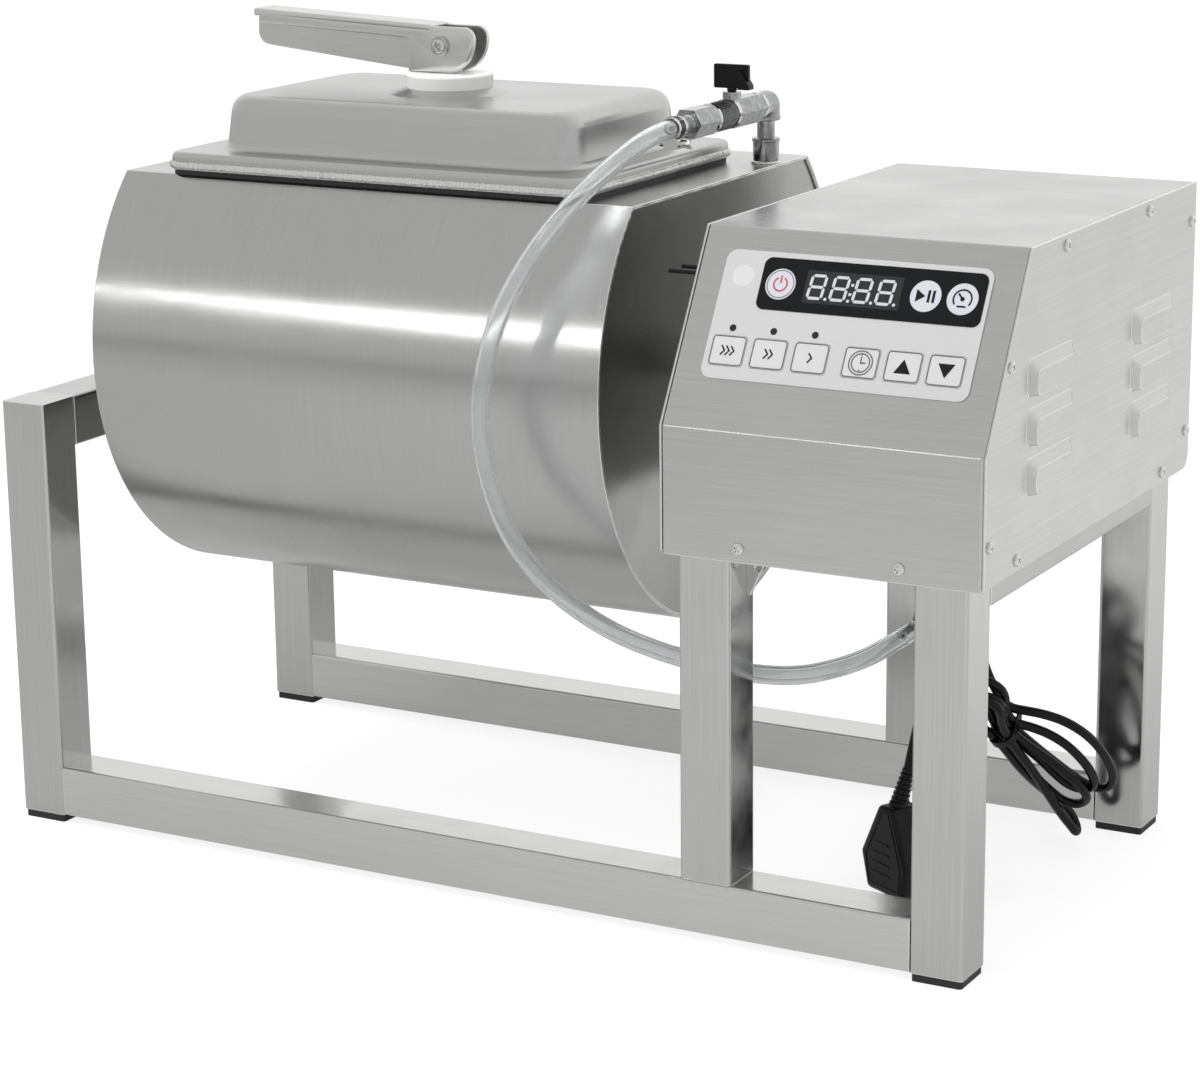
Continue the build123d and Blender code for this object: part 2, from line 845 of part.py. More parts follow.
cavity_radius = ball_diameter / 2 + ball_clearance
with BuildPart() as valve_body:
    with BuildSketch(across_y(x_valve, y_elbow_face, z_valve)):
        RegularPolygon(valve_hex / 2, 6, major_radius=False)
    extrude(amount=valve_hex_length)
    with BuildSketch(across_y(x_valve, y_ring, z_valve)):
        Circle(valve_ring_diameter / 2)
    extrude(amount=valve_ring_length)
    with BuildSketch(across_y(x_valve, y_neck, z_valve)):
        Circle(valve_neck_diameter / 2)
    extrude(amount=valve_neck_length)
    with BuildSketch(level(x_valve, y_stem, z_valve)):
        Circle(stem_boss_diameter / 2)
    extrude(amount=stem_boss_height)
    with BuildSketch(across_y(x_valve, y_elbow_face, z_valve)):
        Circle(valve_bore / 2)
    extrude(amount=y_elbow_face - y_tail_nut, mode=Mode.SUBTRACT)
    with Locations((x_valve, y_stem, z_valve)):
        Sphere(cavity_radius, mode=Mode.SUBTRACT)
    with BuildSketch(level(x_valve, y_stem, z_valve)):
        Circle(stem_diameter / 2 + shaft_clearance)
    extrude(amount=stem_boss_height, mode=Mode.SUBTRACT)
save(valve_body, "valve_body")

z_ball_flat = z_valve + sqrt(ball_diameter**2 - stem_diameter**2) / 2
with BuildPart() as valve_ball:
    with Locations((x_valve, y_stem, z_valve)):
        Sphere(ball_diameter / 2)
    with BuildSketch(across_x(x_valve, y_stem, z_valve)):
        Circle(stem_diameter / 2)
    extrude(amount=ball_diameter, both=True, mode=Mode.SUBTRACT)
    split(bisect_by=Plane.XY.offset(z_ball_flat), keep=Keep.BOTTOM)
save(valve_ball, "valve_ball")

z_wing = z_valve + stem_boss_height + wing_gap
with BuildPart() as valve_handle:
    with BuildSketch(level(x_valve, y_stem, z_ball_flat)):
        Circle(stem_diameter / 2)
    extrude(amount=z_wing + wing_hub_height - z_ball_flat)
    with BuildSketch(level(x_valve, y_stem, z_wing)):
        Circle(wing_hub_diameter / 2)
    extrude(amount=wing_hub_height)
    with BuildSketch(across_y(x_valve, y_stem, z_wing)) as wing_side:
        with BuildLine():
            Polyline(
                (-wing_hub_diameter / 2, wing_height / 4),
                (wing_hub_diameter / 2, wing_height / 4),
                (wing_length / 2, wing_height / 2),
                (wing_length / 2, wing_height),
                (-wing_length / 2, wing_height),
                (-wing_length / 2, wing_height / 2),
                close=True,
            )
        make_face()
        fillet(wing_side.vertices(), wing_corner)
    extrude(amount=wing_width / 2, both=True)
save(valve_handle, "valve_handle")


def add_barb(plane, length):
    """Add a hose barb along the plane's own X axis, with three ridges and a bore."""
    radius = barb_diameter / 2
    pitch = length / 5
    edge = [(0, valve_bore / 4), (0, radius), (1.5 * pitch, radius)]
    for ridge in range(3):
        start = (ridge + 1.5) * pitch
        edge += [(start, radius + barb_ridge), (start + pitch, radius)]
    edge += [(length, radius - barb_ridge), (length, valve_bore / 4)]
    with BuildSketch(plane) as barb:
        with BuildLine():
            Polyline(*edge, close=True)
        make_face()
    revolve(barb.sketch, axis=Axis(plane.origin, plane.x_dir))


with BuildPart() as hose_tail:
    with BuildSketch(across_y(x_valve, y_tail_nut, z_valve)):
        RegularPolygon(tail_nut / 2, 6, major_radius=False)
        Circle(valve_bore / 4, mode=Mode.SUBTRACT)
    extrude(amount=tail_nut_length)
    barb_plane = Plane(origin=(x_valve, y_hose_start, z_valve), x_dir=(0, -1, 0), z_dir=(1, 0, 0))
    add_barb(barb_plane, valve_barb_length)
save(hose_tail, "hose_tail")

y_clamp = y_hose_start - clamp_inset
band_bore = hose_outer / 2 + clamp_clearance
clamp_drop = band_bore + clamp_box_height / 2
with BuildPart() as hose_clamp:
    with BuildSketch(across_y(x_valve, y_clamp, z_valve)):
        Circle(band_bore + clamp_band)
        with Locations((0, -clamp_drop)):
            RectangleRounded(clamp_width, clamp_box_height, clamp_corner)
        Circle(band_bore, mode=Mode.SUBTRACT)
    extrude(amount=clamp_width)
    clamp_middle = across_x(x_valve, y_clamp - clamp_width / 2, z_valve - clamp_drop)
    with BuildSketch(clamp_middle):
        Circle(clamp_screw_diameter / 2)
    extrude(amount=clamp_screw_length / 2, both=True)
save(hose_clamp, "hose_clamp")

# Housing of the control box


def box_profile(bottom):
    """Add the side outline of the control box, down to a given height, to the open sketch."""
    with BuildLine() as outline:
        Polyline(
            (y_skirt, bottom),
            (y_skirt, z_fold),
            (y_crest, z_top),
            (y_rear, z_top),
            (y_rear, bottom),
            close=True,
        )
    make_face(outline.edges())


x_housing = x_box_left + sheet
housing_length = box_length - 2 * sheet
slope_y = cos(radians(fascia_angle))
slope_z = sin(radians(fascia_angle))


def on_slope(rise, inset):
    """Return the place in Y and Z of a point up the fascia, an inset behind it."""
    return (
        y_skirt + rise * slope_y + inset * slope_z,
        z_fold + rise * slope_z - inset * slope_y,
    )


side_screws = [
    (y_crest + crest_screw_gap, z_top - screw_inset),
    (y_rear - rear_crest_screw_gap, z_top - screw_inset),
    (y_rear - screw_inset, z_top - rear_top_screw_drop),
    (y_rear - screw_inset, z_tray + rear_low_screw_rise),
    (y_rear - rear_foot_screw_gap, z_panel + screw_inset),
    (y_skirt + front_foot_screw_gap, z_panel + screw_inset),
    (y_skirt + screw_inset, z_tray + front_low_screw_rise),
    on_slope(fascia_screw_share * fascia_rise, screw_inset),
]
screw_columns = (x_inner_leg + inner_leg_screw_gap, x_outer_leg - outer_leg_screw_gap)
front_screws = [(x, deck_height - front_screw_drop) for x in screw_columns]
rear_screws = [(x, z_tray + rear_screw_rise) for x in screw_columns]
screw_hole = screw_shank / 2 + screw_clearance
y_switch = y_skirt + switch_front_gap
z_switch = deck_height + switch_rise
switch_screws = [(y_switch, z_switch), (y_switch + switch_screw_spacing, z_switch)]
switch_screw_hole = switch_screw_diameter / 2 + screw_clearance
x_overlay = box_length / 2


def side_holes(mode=Mode.ADD):
    """Add or cut the holes of the side screws in the open sketch."""
    with Locations(*side_screws):
        Circle(screw_hole, mode=mode)


with BuildPart() as housing_wrap:
    with BuildSketch(across_x(x_housing)):
        box_profile(z_skirt)
    extrude(amount=housing_length)
    open_face = housing_wrap.faces().sort_by(Axis.Z)[0]
    fillet(housing_wrap.edges() - open_face.edges(), bend_radius)
    offset(amount=-sheet, openings=housing_wrap.faces().sort_by(Axis.Z)[0])
    with BuildSketch(across_x(x_housing)):
        box_profile(z_skirt - 2 * panel_flange)
        offset(amount=-panel_flange, kind=Kind.INTERSECTION, mode=Mode.REPLACE)
    extrude(amount=housing_length, mode=Mode.SUBTRACT)
    with BuildSketch(across_x(x_housing)):
        with Locations((y_skirt + sheet, z_tray)):
            Rectangle(box_depth, 2 * panel_flange, align=(Align.MIN, Align.MAX))
        side_holes()
        with Locations(*switch_screws):
            Circle(switch_screw_hole)
    extrude(amount=housing_length, mode=Mode.SUBTRACT)
    with BuildSketch(fascia):
        with Locations((x_overlay, window_rise)):
            Rectangle(digits_length + 2 * cutout_margin, digits_width + 2 * cutout_margin)
    extrude(amount=-2 * sheet, mode=Mode.SUBTRACT)
    with BuildSketch(across_y(0, y_skirt, 0)):
        with Locations(*front_screws):
            Circle(screw_hole)
    extrude(amount=-2 * sheet, mode=Mode.SUBTRACT)
    with BuildSketch(across_y(0, y_rear - 2 * sheet, 0)):
        with Locations(*rear_screws):
            Circle(screw_hole)
    extrude(amount=-2 * sheet, mode=Mode.SUBTRACT)
save(housing_wrap, "housing_wrap")


def side_panel(x):
    """Add the flat plate of a side panel, from its left face at x, to the open part."""
    with BuildSketch(across_x(x)) as panel_side:
        box_profile(z_panel)
        rear_corner = panel_side.vertices().sort_by(Axis.X)[-2:].sort_by(Axis.Y)[0]
        fillet(rear_corner, panel_corner)
        side_holes(Mode.SUBTRACT)
    extrude(panel_side.sketch, amount=sheet)


with BuildPart() as left_side_panel:
    side_panel(x_box_left)
    with BuildSketch(across_x(x_box_left)):
        with Locations((y_axis, z_axis)):
            Circle(panel_hole / 2)
        with Locations(*switch_screws):
            Circle(switch_screw_hole)
    extrude(amount=sheet, mode=Mode.SUBTRACT)
save(left_side_panel, "left_side_panel")

louvre_top_height = louvre_height - louvre_taper
y_louvres = y_axis + louvre_setback
louvre_places = [
    (y_louvres + side * louvre_spacing / 2, deck_height + louvre_first_rise + row * louvre_pitch)
    for side in (-1, 1)
    for row in range(louvre_rows)
]


def louvre_hood(x, y, z, wall, mode):
    """Add or cut a pressed hood that stands out of the right panel and opens downwards."""
    shift = louvre_taper / 2
    with BuildSketch(across_x(x, y, z - wall / 2)) as foot:
        RectangleRounded(louvre_length - 2 * wall, louvre_height - wall, louvre_corner - wall)
    with BuildSketch(across_x(x + louvre_depth - wall, y, z - shift - wall / 2)) as crown:
        RectangleRounded(
            louvre_length - 2 * wall - 2 * louvre_taper,
            louvre_top_height - wall,
            louvre_corner - wall,
        )
    loft([foot.sketch.face(), crown.sketch.face()], mode=mode)


with BuildPart() as right_side_panel:
    side_panel(x_box_right - sheet)
    for y, z in louvre_places:
        louvre_hood(x_box_right, y, z, 0, Mode.ADD)
        louvre_hood(x_box_right, y, z, sheet, Mode.SUBTRACT)
        with BuildSketch(across_x(x_box_right, y, z - sheet / 2)):
            RectangleRounded(
                louvre_length - 2 * sheet, louvre_height - sheet, louvre_corner - sheet
            )
        extrude(amount=-sheet, mode=Mode.SUBTRACT)
save(right_side_panel, "right_side_panel")

with BuildPart() as pan_screw:
    with BuildSketch():
        Circle(screw_head / 2)
    extrude(amount=screw_head_height)
    fillet(pan_screw.edges().sort_by(Axis.Z)[-1], screw_head_edge)
    with BuildSketch():
        Circle(screw_shank / 2)
    extrude(amount=-screw_length)

screw_planes = [across_x(x_box_right, y, z) for y, z in side_screws]
screw_planes += [
    Plane(origin=(x_box_left, y, z), x_dir=(0, -1, 0), z_dir=(-1, 0, 0))
    for y, z in side_screws
]
screw_planes += [across_y(x, y_skirt, z) for x, z in front_screws]
screw_planes += [along_y(x, y_rear, z) for x, z in rear_screws]
with BuildPart() as housing_screws:
    with Locations(*screw_planes):
        add(pan_screw.part)
save(housing_screws, "housing_screws")

x_port = x_gearbox + gearbox_length + port_shift + port_pipe / 2
y_pump = y_skirt + pump_front_gap
y_port = y_pump + pump_head_depth + port_spigot + port_run
x_gland = x_outer_leg - gland_leg_gap
y_gland = y_axis + gland_setback
tray_length = box_length - 2 * sheet
tray_depth = box_depth - 2 * sheet
with BuildPart() as base_tray:
    with BuildSketch(level(x_housing, y_skirt + sheet, deck_height)):
        Rectangle(tray_length, tray_depth, align=(Align.MIN, Align.MIN))
    extrude(amount=tray_sheet)
    with BuildSketch(across_y(x_housing + tray_length / 2, y_skirt + sheet, deck_height)):
        Rectangle(
            tray_length - 2 * tray_sheet, panel_drop, align=(Align.CENTER, Align.MAX)
        )
    extrude(amount=-tray_sheet)
    for x in (x_housing, x_housing + tray_length - tray_sheet):
        with BuildSketch(across_x(x, y_skirt + sheet, deck_height)):
            Rectangle(tray_depth - panel_corner, panel_drop, align=(Align.MIN, Align.MAX))
        extrude(amount=tray_sheet)
    with BuildSketch(across_y(x_housing + tray_length / 2, y_rear - sheet, z_tray)):
        Rectangle(
            tray_length - 2 * panel_flange, 1.5 * panel_flange, align=(Align.CENTER, Align.MIN)
        )
    extrude(amount=tray_sheet)
    with BuildSketch(level(0, 0, deck_height)):
        with Locations((x_port, y_port)):
            Circle(port_pipe / 2 + foot_clearance)
        with Locations((x_gland, y_gland)):
            Circle(gland_thread / 2 + foot_clearance)
    extrude(amount=tray_sheet, mode=Mode.SUBTRACT)
    with BuildSketch(across_x(x_housing)):
        side_holes()
    extrude(amount=tray_length, mode=Mode.SUBTRACT)
    with BuildSketch(across_y(0, y_skirt, 0)):
        with Locations(*front_screws):
            Circle(screw_hole)
    extrude(amount=-2 * panel_flange, mode=Mode.SUBTRACT)
    with BuildSketch(across_y(0, y_rear - 2 * panel_flange, 0)):
        with Locations(*rear_screws):
            Circle(screw_hole)
    extrude(amount=-2 * panel_flange, mode=Mode.SUBTRACT)
save(base_tray, "base_tray")

# Key panel

round_keys = {"power_key": -54.7, "start_key": 54.0, "vacuum_key": 80.9}
square_keys = {
    "fast_key": -82.8,
    "medium_key": -51.5,
    "slow_key": -20.0,
    "timer_key": 17.9,
    "up_key": 49.2,
    "down_key": 80.2,
}
round_places = [(x_overlay + shift, window_rise) for shift in round_keys.values()]
square_places = [(x_overlay + shift, square_key_rise) for shift in square_keys.values()]
lamp_places = [(x_overlay + square_keys[key], lamp_rise) for key in list(square_keys)[:3]]

with BuildPart() as control_overlay:
    with BuildSketch(fascia):
        with Locations((x_overlay, overlay_rise)):
            RectangleRounded(overlay_length, overlay_width, overlay_corner)
        with Locations((x_overlay + window_shift, window_rise)):
            RectangleRounded(window_length, window_width, window_corner, mode=Mode.SUBTRACT)
        with Locations(*square_places):
            RectangleRounded(
                square_key_length + 2 * key_clearance,
                square_key_width + 2 * key_clearance,
                square_key_corner + key_clearance,
                mode=Mode.SUBTRACT,
            )
        with Locations(*lamp_places):
            Circle(lamp_diameter / 2, mode=Mode.SUBTRACT)
    extrude(amount=overlay_thickness)
save(control_overlay, "control_overlay")

with BuildPart() as display_window:
    with BuildSketch(fascia):
        with Locations((x_overlay + window_shift, window_rise)):
            RectangleRounded(window_length, window_width, window_corner)
        with Locations(*round_places):
            Circle(round_key / 2 + key_clearance, mode=Mode.SUBTRACT)
    extrude(amount=overlay_thickness + window_proud)
save(display_window, "display_window")

with BuildPart() as indicator_lights:
    with BuildSketch(fascia):
        with Locations(*lamp_places):
            Circle(lamp_diameter / 2)
    extrude(amount=overlay_thickness + lamp_proud)
save(indicator_lights, "indicator_lights")

key_plane = fascia.offset(key_travel + key_stop_gap)
for key_name, place in zip(round_keys, round_places):
    with BuildPart() as key:
        with BuildSketch(key_plane):
            with Locations(place):
                Circle(round_key / 2)
        extrude(amount=key_thickness)
    save(key, key_name)
for key_name, place in zip(square_keys, square_places):
    with BuildPart() as key:
        with BuildSketch(key_plane):
            with Locations(place):
                RectangleRounded(square_key_length, square_key_width, square_key_corner)
        extrude(amount=key_thickness)
    save(key, key_name)

board_plane = fascia.offset(-sheet - board_gap - board_thickness)
with BuildPart() as control_board:
    with BuildSketch(board_plane):
        with Locations((x_overlay, overlay_rise)):
            Rectangle(board_length, board_width)
    extrude(amount=board_thickness)
    with BuildSketch(board_plane):
        with Locations((x_overlay, overlay_rise)):
            with GridLocations(
                board_length - 2 * standoff_inset, board_width - 2 * standoff_inset, 2, 2
            ):
                Circle(standoff_diameter / 2)
    extrude(amount=board_thickness + board_gap)
    with BuildSketch(board_plane):
        with Locations((x_overlay, window_rise)):
            Rectangle(digits_length, digits_width)
    extrude(amount=board_thickness + board_gap + sheet - key_clearance)
save(control_board, "control_board")

# Parts inside the box

with BuildPart() as gearbox:
    with BuildSketch(across_x(x_gearbox, y_axis, z_tray)):
        Rectangle(
            gearbox_width, z_axis + gearbox_rise - z_tray, align=(Align.CENTER, Align.MIN)
        )
    extrude(amount=gearbox_length)
    fillet(gearbox.edges().filter_by(Axis.X).group_by(Axis.Z)[-1], gearbox_corner)
    with BuildSketch(level(x_gearbox + gearbox_length / 2, y_axis, z_tray)):
        RectangleRounded(
            gearbox_length, gearbox_width + 2 * gearbox_foot_reach, gearbox_corner / 2
        )
    extrude(amount=gearbox_foot)
    with BuildSketch(across_x(x_gearbox, y_axis, z_axis)):
        Circle(output_boss_diameter / 2)
    extrude(amount=-output_boss_length)
    with BuildSketch(across_x(x_boss, y_axis, z_axis)):
        Circle(drive_end_diameter / 2 + shaft_clearance)
    extrude(amount=output_boss_length + gearbox_length - drive_end_gap / 2, mode=Mode.SUBTRACT)
save(gearbox, "gearbox")

x_motor = x_gearbox + gearbox_length
with BuildPart() as drive_motor:
    with BuildSketch(across_x(x_motor, y_axis, z_axis)):
        Circle(motor_diameter / 2)
    extrude(amount=motor_length - motor_cap_length)
    with BuildSketch(across_x(x_motor, y_axis, z_axis)):
        Circle(motor_diameter / 2 - motor_step)
    extrude(amount=motor_length)
    fillet(drive_motor.edges().group_by(Axis.X)[-1], motor_edge)
save(drive_motor, "drive_motor")

z_pump = z_tray + pump_foot
x_pump_head = x_port - pump_head_length / 2
pump_middle = (x_pump_head - pump_motor_length / 2, y_pump + pump_head_depth / 2)
with BuildPart() as vacuum_pump:
    with BuildSketch(level(x_pump_head - pump_motor_length, y_pump, z_tray)):
        Rectangle(
            pump_motor_length + pump_head_length, pump_head_depth, align=(Align.MIN, Align.MIN)
        )
    extrude(amount=pump_foot)
    with BuildSketch(level(x_pump_head, y_pump, z_pump)):
        Rectangle(pump_head_length, pump_head_depth, align=(Align.MIN, Align.MIN))
    extrude(amount=pump_head_height - pump_foot)
    fillet(vacuum_pump.edges().group_by(Axis.Z)[-1], pump_edge)
    with BuildSketch(
        across_x(x_pump_head, pump_middle[1], z_pump + pump_motor_diameter / 2 - pump_motor_sink)
    ):
        Circle(pump_motor_diameter / 2)
    extrude(amount=-pump_motor_length)
    with BuildSketch(along_y(x_port, y_pump + pump_head_depth, z_port)):
        Circle(port_pipe / 2)
    extrude(amount=port_spigot)
save(vacuum_pump, "vacuum_pump")

y_port_start = y_pump + pump_head_depth + port_spigot
y_port_end = y_port - port_tail
with BuildPart() as pump_port:
    with BuildLine() as port_path:
        FilletPolyline(
            (x_port, y_port_start, z_port),
            (x_port, y_port, z_port),
            (x_port, y_port, z_port_end),
            (x_port, y_port_end, z_port_end),
            radius=port_bend,
        )
    with BuildSketch(along_y(x_port, y_port_start, z_port)):
        Circle(port_pipe / 2)
        Circle(port_pipe / 4, mode=Mode.SUBTRACT)
    sweep(path=port_path.line)
    for z in (z_tray, deck_height - port_nut_height):
        with BuildSketch(level(x_port, y_port, z)):
            RegularPolygon(port_nut / 2, 6, major_radius=False)
            Circle(port_pipe / 2, mode=Mode.SUBTRACT)
        extrude(amount=port_nut_height)
    port_barb = Plane(
        origin=(x_port, y_port_end, z_port_end), x_dir=(0, -1, 0), z_dir=(1, 0, 0)
    )
    add_barb(port_barb, port_barb_length)
save(pump_port, "pump_port")

x_switch = x_box_left + 2 * sheet
with BuildPart() as position_switch:
    with BuildSketch(across_x(x_switch, y_switch + switch_screw_spacing / 2, z_switch)):
        RectangleRounded(switch_length, switch_height, switch_corner)
    extrude(amount=switch_depth)
    with BuildSketch(across_x(x_switch)):
        with Locations(*switch_screws):
            Circle(switch_screw_diameter / 2)
    extrude(amount=-2 * sheet - switch_screw_reach)
save(position_switch, "position_switch")

# Hose, mains cord and plug


def free_route(name, points):
    """Return a route of straight runs and the arcs that join them, and print its radii.

    Each arc is as large as its two runs allow.
    """
    corners = []
    runs = [Vector(*b) - Vector(*a) for a, b in zip(points, points[1:])]
    for before, after in zip(runs, runs[1:]):
        half_turn = radians(before.get_angle(after)) / 2
        corners.append(0.45 * min(before.length, after.length) / tan(half_turn))
    print(name, "radii", [round(radius) for radius in corners])
    return FilletPolyline(*points, radius=corners)


def check_tube(name, piece, area, length):
    """Print how a tube's volume compares with its section times its length."""
    print(name, "length", round(length), "volume ratio", round(piece.part.volume / area / length, 4))


hose_points = [
    (x_valve, y_hose_start, z_valve),
    (x_valve, y_hose_start - 30, z_valve),
    (x_valve - 1, y_hose_start - 61, z_valve - 3),
    (96.5, -122.9, 553),
    (87.5, -154.9, 536),
    (78.5, -179.9, 517),
    (67.5, -202.9, 493),
    (52.5, -220.9, 457),
    (41.5, -226.9, 414),
    (37.5, -228.9, 377),
    (41.5, -224.9, 333),
    (52.5, -212.9, 288),
    (73.5, -192.9, 249),
    (100.5, -167.9, 219),
    (128.5, -147.9, 201),
    (169.5, -135.9, 190),
    (210.5, -131.9, 187),
    (241.5, -126.9, 189),
    (264, -113.4, 194),
    (279.5, -92.9, 199),
    (x_port - 2, y_port_end - 38, z_port_end - 1),
    (x_port, y_port_end - 19, z_port_end),
    (x_port, y_port_end, z_port_end),
]
with BuildPart() as vacuum_hose:
    with BuildLine() as hose_line:
        free_route("vacuum_hose", hose_points)
    with BuildSketch(across_y(x_valve, y_hose_start, z_valve)):
        Circle(hose_outer / 2)
        Circle(hose_inner / 2, mode=Mode.SUBTRACT)
    sweep(path=hose_line.wire())
hose_area = pi * (hose_outer**2 - hose_inner**2) / 4
check_tube("vacuum_hose", vacuum_hose, hose_area, hose_line.wire().length)
save(vacuum_hose, "vacuum_hose")

z_gland_hex = deck_height - gland_hex_height
z_gland = z_gland_hex - gland_nose
with BuildPart() as cord_gland:
    with BuildSketch(level(x_gland, y_gland, z_tray)):
        RegularPolygon(gland_hex / 2, 6, major_radius=False)
    extrude(amount=gland_nut_height)
    with BuildSketch(level(x_gland, y_gland, z_tray)):
        Circle(gland_thread / 2)
    extrude(amount=-tray_sheet)
    with BuildSketch(level(x_gland, y_gland, deck_height)):
        RegularPolygon(gland_hex / 2, 6, major_radius=False)
    extrude(amount=-gland_hex_height)
    with BuildSketch(level(x_gland, y_gland, z_gland_hex)):
        Circle(gland_thread / 2)
    with BuildSketch(level(x_gland, y_gland, z_gland)):
        Circle(cord_diameter / 2 + gland_lip)
    loft()
save(cord_gland, "cord_gland")

cord_area = pi * cord_diameter**2 / 4
hank_tie = Vector(327.5, 53.1, 112)
hank_tip = Vector(357.5, 137.1, 12)
hank_side = Vector(393.5, 107.1, 57)
hank_line = hank_tip - hank_tie
hank_plane = Plane(origin=hank_tie, x_dir=hank_line, z_dir=hank_line.cross(hank_side - hank_tie))
with BuildPart() as cord_hank:
    with BuildSketch(hank_plane) as hank_side_view:
        with BuildLine():
            Polyline(
                (-38, -9),
                (-38, 9),
                (0, 9),
                (24, 36),
                (58, 53),
                (92, 52),
                (106, 38),
                (104, 16),
                (136, 9),
                (141, 0),
                (136, -9),
                close=True,
            )
        make_face()
        fillet(hank_side_view.vertices(), hank_edge)
    extrude(amount=hank_thickness / 2, both=True)
    split(bisect_by=Plane.XY.offset(floor_gap), keep=Keep.TOP)
save(cord_hank, "cord_hank")

lead_points = [
    (x_gland, y_gland, z_gland),
    (x_gland, y_gland, z_gland - 28),
    (x_gland - 1, y_gland, z_gland - 68),
    (x_gland + 1, y_gland + 1, z_gland - 112),
    (321.5, 48.1, 136),
]
with BuildPart() as cord_lead:
    with BuildLine() as lead_line:
        free_route("cord_lead", lead_points)
    with BuildSketch(level(x_gland, y_gland, z_gland)):
        Circle(cord_diameter / 2)
    sweep(path=lead_line.wire())
    check_tube("cord_lead", cord_lead, cord_area, lead_line.wire().length)
    add(cord_hank.part, mode=Mode.SUBTRACT)
save(cord_lead, "cord_lead")

plug_foot = Vector(275.5, -33.9, 0)
plug_angle = radians(plug_turn)
plug_plane = Plane(
    origin=plug_foot,
    x_dir=(cos(plug_angle), -sin(plug_angle), 0),
    z_dir=(-sin(plug_angle), -cos(plug_angle), 0),
)
with BuildPart() as power_plug:
    with BuildSketch(plug_plane) as plug_outline:
        with BuildLine():
            Polyline(
                (-25, 0), (25, 0), (29, 28), (10, plug_top), (-10, plug_top), (-29, 28), close=True
            )
        make_face()
        fillet(plug_outline.vertices(), plug_edge)
    extrude(amount=plug_thickness / 2, both=True)
    with BuildSketch(level(plug_foot.X, plug_foot.Y, plug_top)):
        Circle(cord_diameter)
    with BuildSketch(level(plug_foot.X, plug_foot.Y, relief_top)):
        Circle(cord_diameter / 2 + relief_wall)
    loft()
    with BuildSketch(plug_plane.offset(-plug_thickness / 2)):
        with Locations((-blade_spacing / 2, blade_rise), (blade_spacing / 2, blade_rise)):
            Rectangle(blade_thickness, blade_width)
        with Locations((0, earth_blade_rise)):
            Rectangle(blade_width, blade_thickness)
    extrude(amount=-blade_length)
save(power_plug, "power_plug")

plug_lead_points = [
    (319.5, 39.1, 128),
    (308.5, 27.1, 142),
    (294.5, 8.1, 152),
    (282.5, -12.9, 152),
    (276.5, -28.9, 139),
    (plug_foot.X, plug_foot.Y, relief_top + 20),
    (plug_foot.X, plug_foot.Y, relief_top),
]
with BuildPart() as plug_lead:
    with BuildLine() as plug_line:
        free_route("plug_lead", plug_lead_points)
    with BuildSketch(Plane(origin=plug_line.wire() @ 0, z_dir=plug_line.wire() % 0)):
        Circle(cord_diameter / 2)
    sweep(path=plug_line.wire())
    check_tube("plug_lead", plug_lead, cord_area, plug_line.wire().length)
    add(cord_hank.part, mode=Mode.SUBTRACT)
save(plug_lead, "plug_lead")
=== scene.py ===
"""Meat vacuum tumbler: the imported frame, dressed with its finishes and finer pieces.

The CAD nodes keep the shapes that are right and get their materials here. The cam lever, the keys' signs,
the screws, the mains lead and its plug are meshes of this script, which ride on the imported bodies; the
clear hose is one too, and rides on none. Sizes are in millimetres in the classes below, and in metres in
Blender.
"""

from __future__ import annotations

import json
import logging
import math
import random
from dataclasses import dataclass
from enum import Enum
from typing import Any, Callable, Iterable, Sequence

import bmesh
import bpy
from mathutils import Matrix, Vector

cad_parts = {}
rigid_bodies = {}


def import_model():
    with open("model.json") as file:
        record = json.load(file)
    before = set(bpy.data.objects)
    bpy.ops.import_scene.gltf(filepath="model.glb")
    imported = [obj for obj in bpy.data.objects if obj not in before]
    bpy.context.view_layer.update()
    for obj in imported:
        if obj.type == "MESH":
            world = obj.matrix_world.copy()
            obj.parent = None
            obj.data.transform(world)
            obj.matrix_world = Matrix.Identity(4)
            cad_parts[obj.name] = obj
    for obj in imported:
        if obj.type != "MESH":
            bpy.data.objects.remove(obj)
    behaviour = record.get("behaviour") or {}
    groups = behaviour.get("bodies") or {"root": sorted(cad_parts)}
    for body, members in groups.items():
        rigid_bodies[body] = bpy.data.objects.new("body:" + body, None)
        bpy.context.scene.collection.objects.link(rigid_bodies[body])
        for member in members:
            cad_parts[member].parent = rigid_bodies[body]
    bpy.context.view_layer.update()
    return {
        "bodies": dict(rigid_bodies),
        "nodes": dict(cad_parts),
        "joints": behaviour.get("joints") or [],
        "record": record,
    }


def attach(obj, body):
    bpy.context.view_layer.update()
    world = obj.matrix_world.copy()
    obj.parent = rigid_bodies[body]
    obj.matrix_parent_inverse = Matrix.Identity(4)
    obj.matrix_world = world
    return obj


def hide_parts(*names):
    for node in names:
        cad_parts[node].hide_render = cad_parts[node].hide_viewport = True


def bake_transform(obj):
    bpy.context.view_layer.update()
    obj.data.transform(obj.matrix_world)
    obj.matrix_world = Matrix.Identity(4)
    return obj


LOG = logging.getLogger("tumbler")
MM = 0.001
TURN = 2 * math.pi
# Points of a mesh that are nearer than this are one point, in metres.
SAME_POINT = 0.00001
# The span in which nearly all values of a noise lie.
NOISE_SPAN = {"From Min": 0.3, "From Max": 0.7}

Point = tuple[float, float]
Colour = tuple[float, float, float, float]


# Small tools for nodes and meshes


def linear_colour(code: str) -> Colour:
    """Turn an sRGB hex colour into the linear one that Blender's nodes take.

    Args:
        code: The colour, as in "#B8B8B6".

    Returns:
        Red, green, blue and an alpha of one.
    """
    shares = [int(code[at : at + 2], 16) / 255 for at in (1, 3, 5)]
    red, green, blue = (
        share / 12.92 if share <= 0.04045 else ((share + 0.055) / 1.055) ** 2.4 for share in shares
    )
    return (red, green, blue, 1.0)


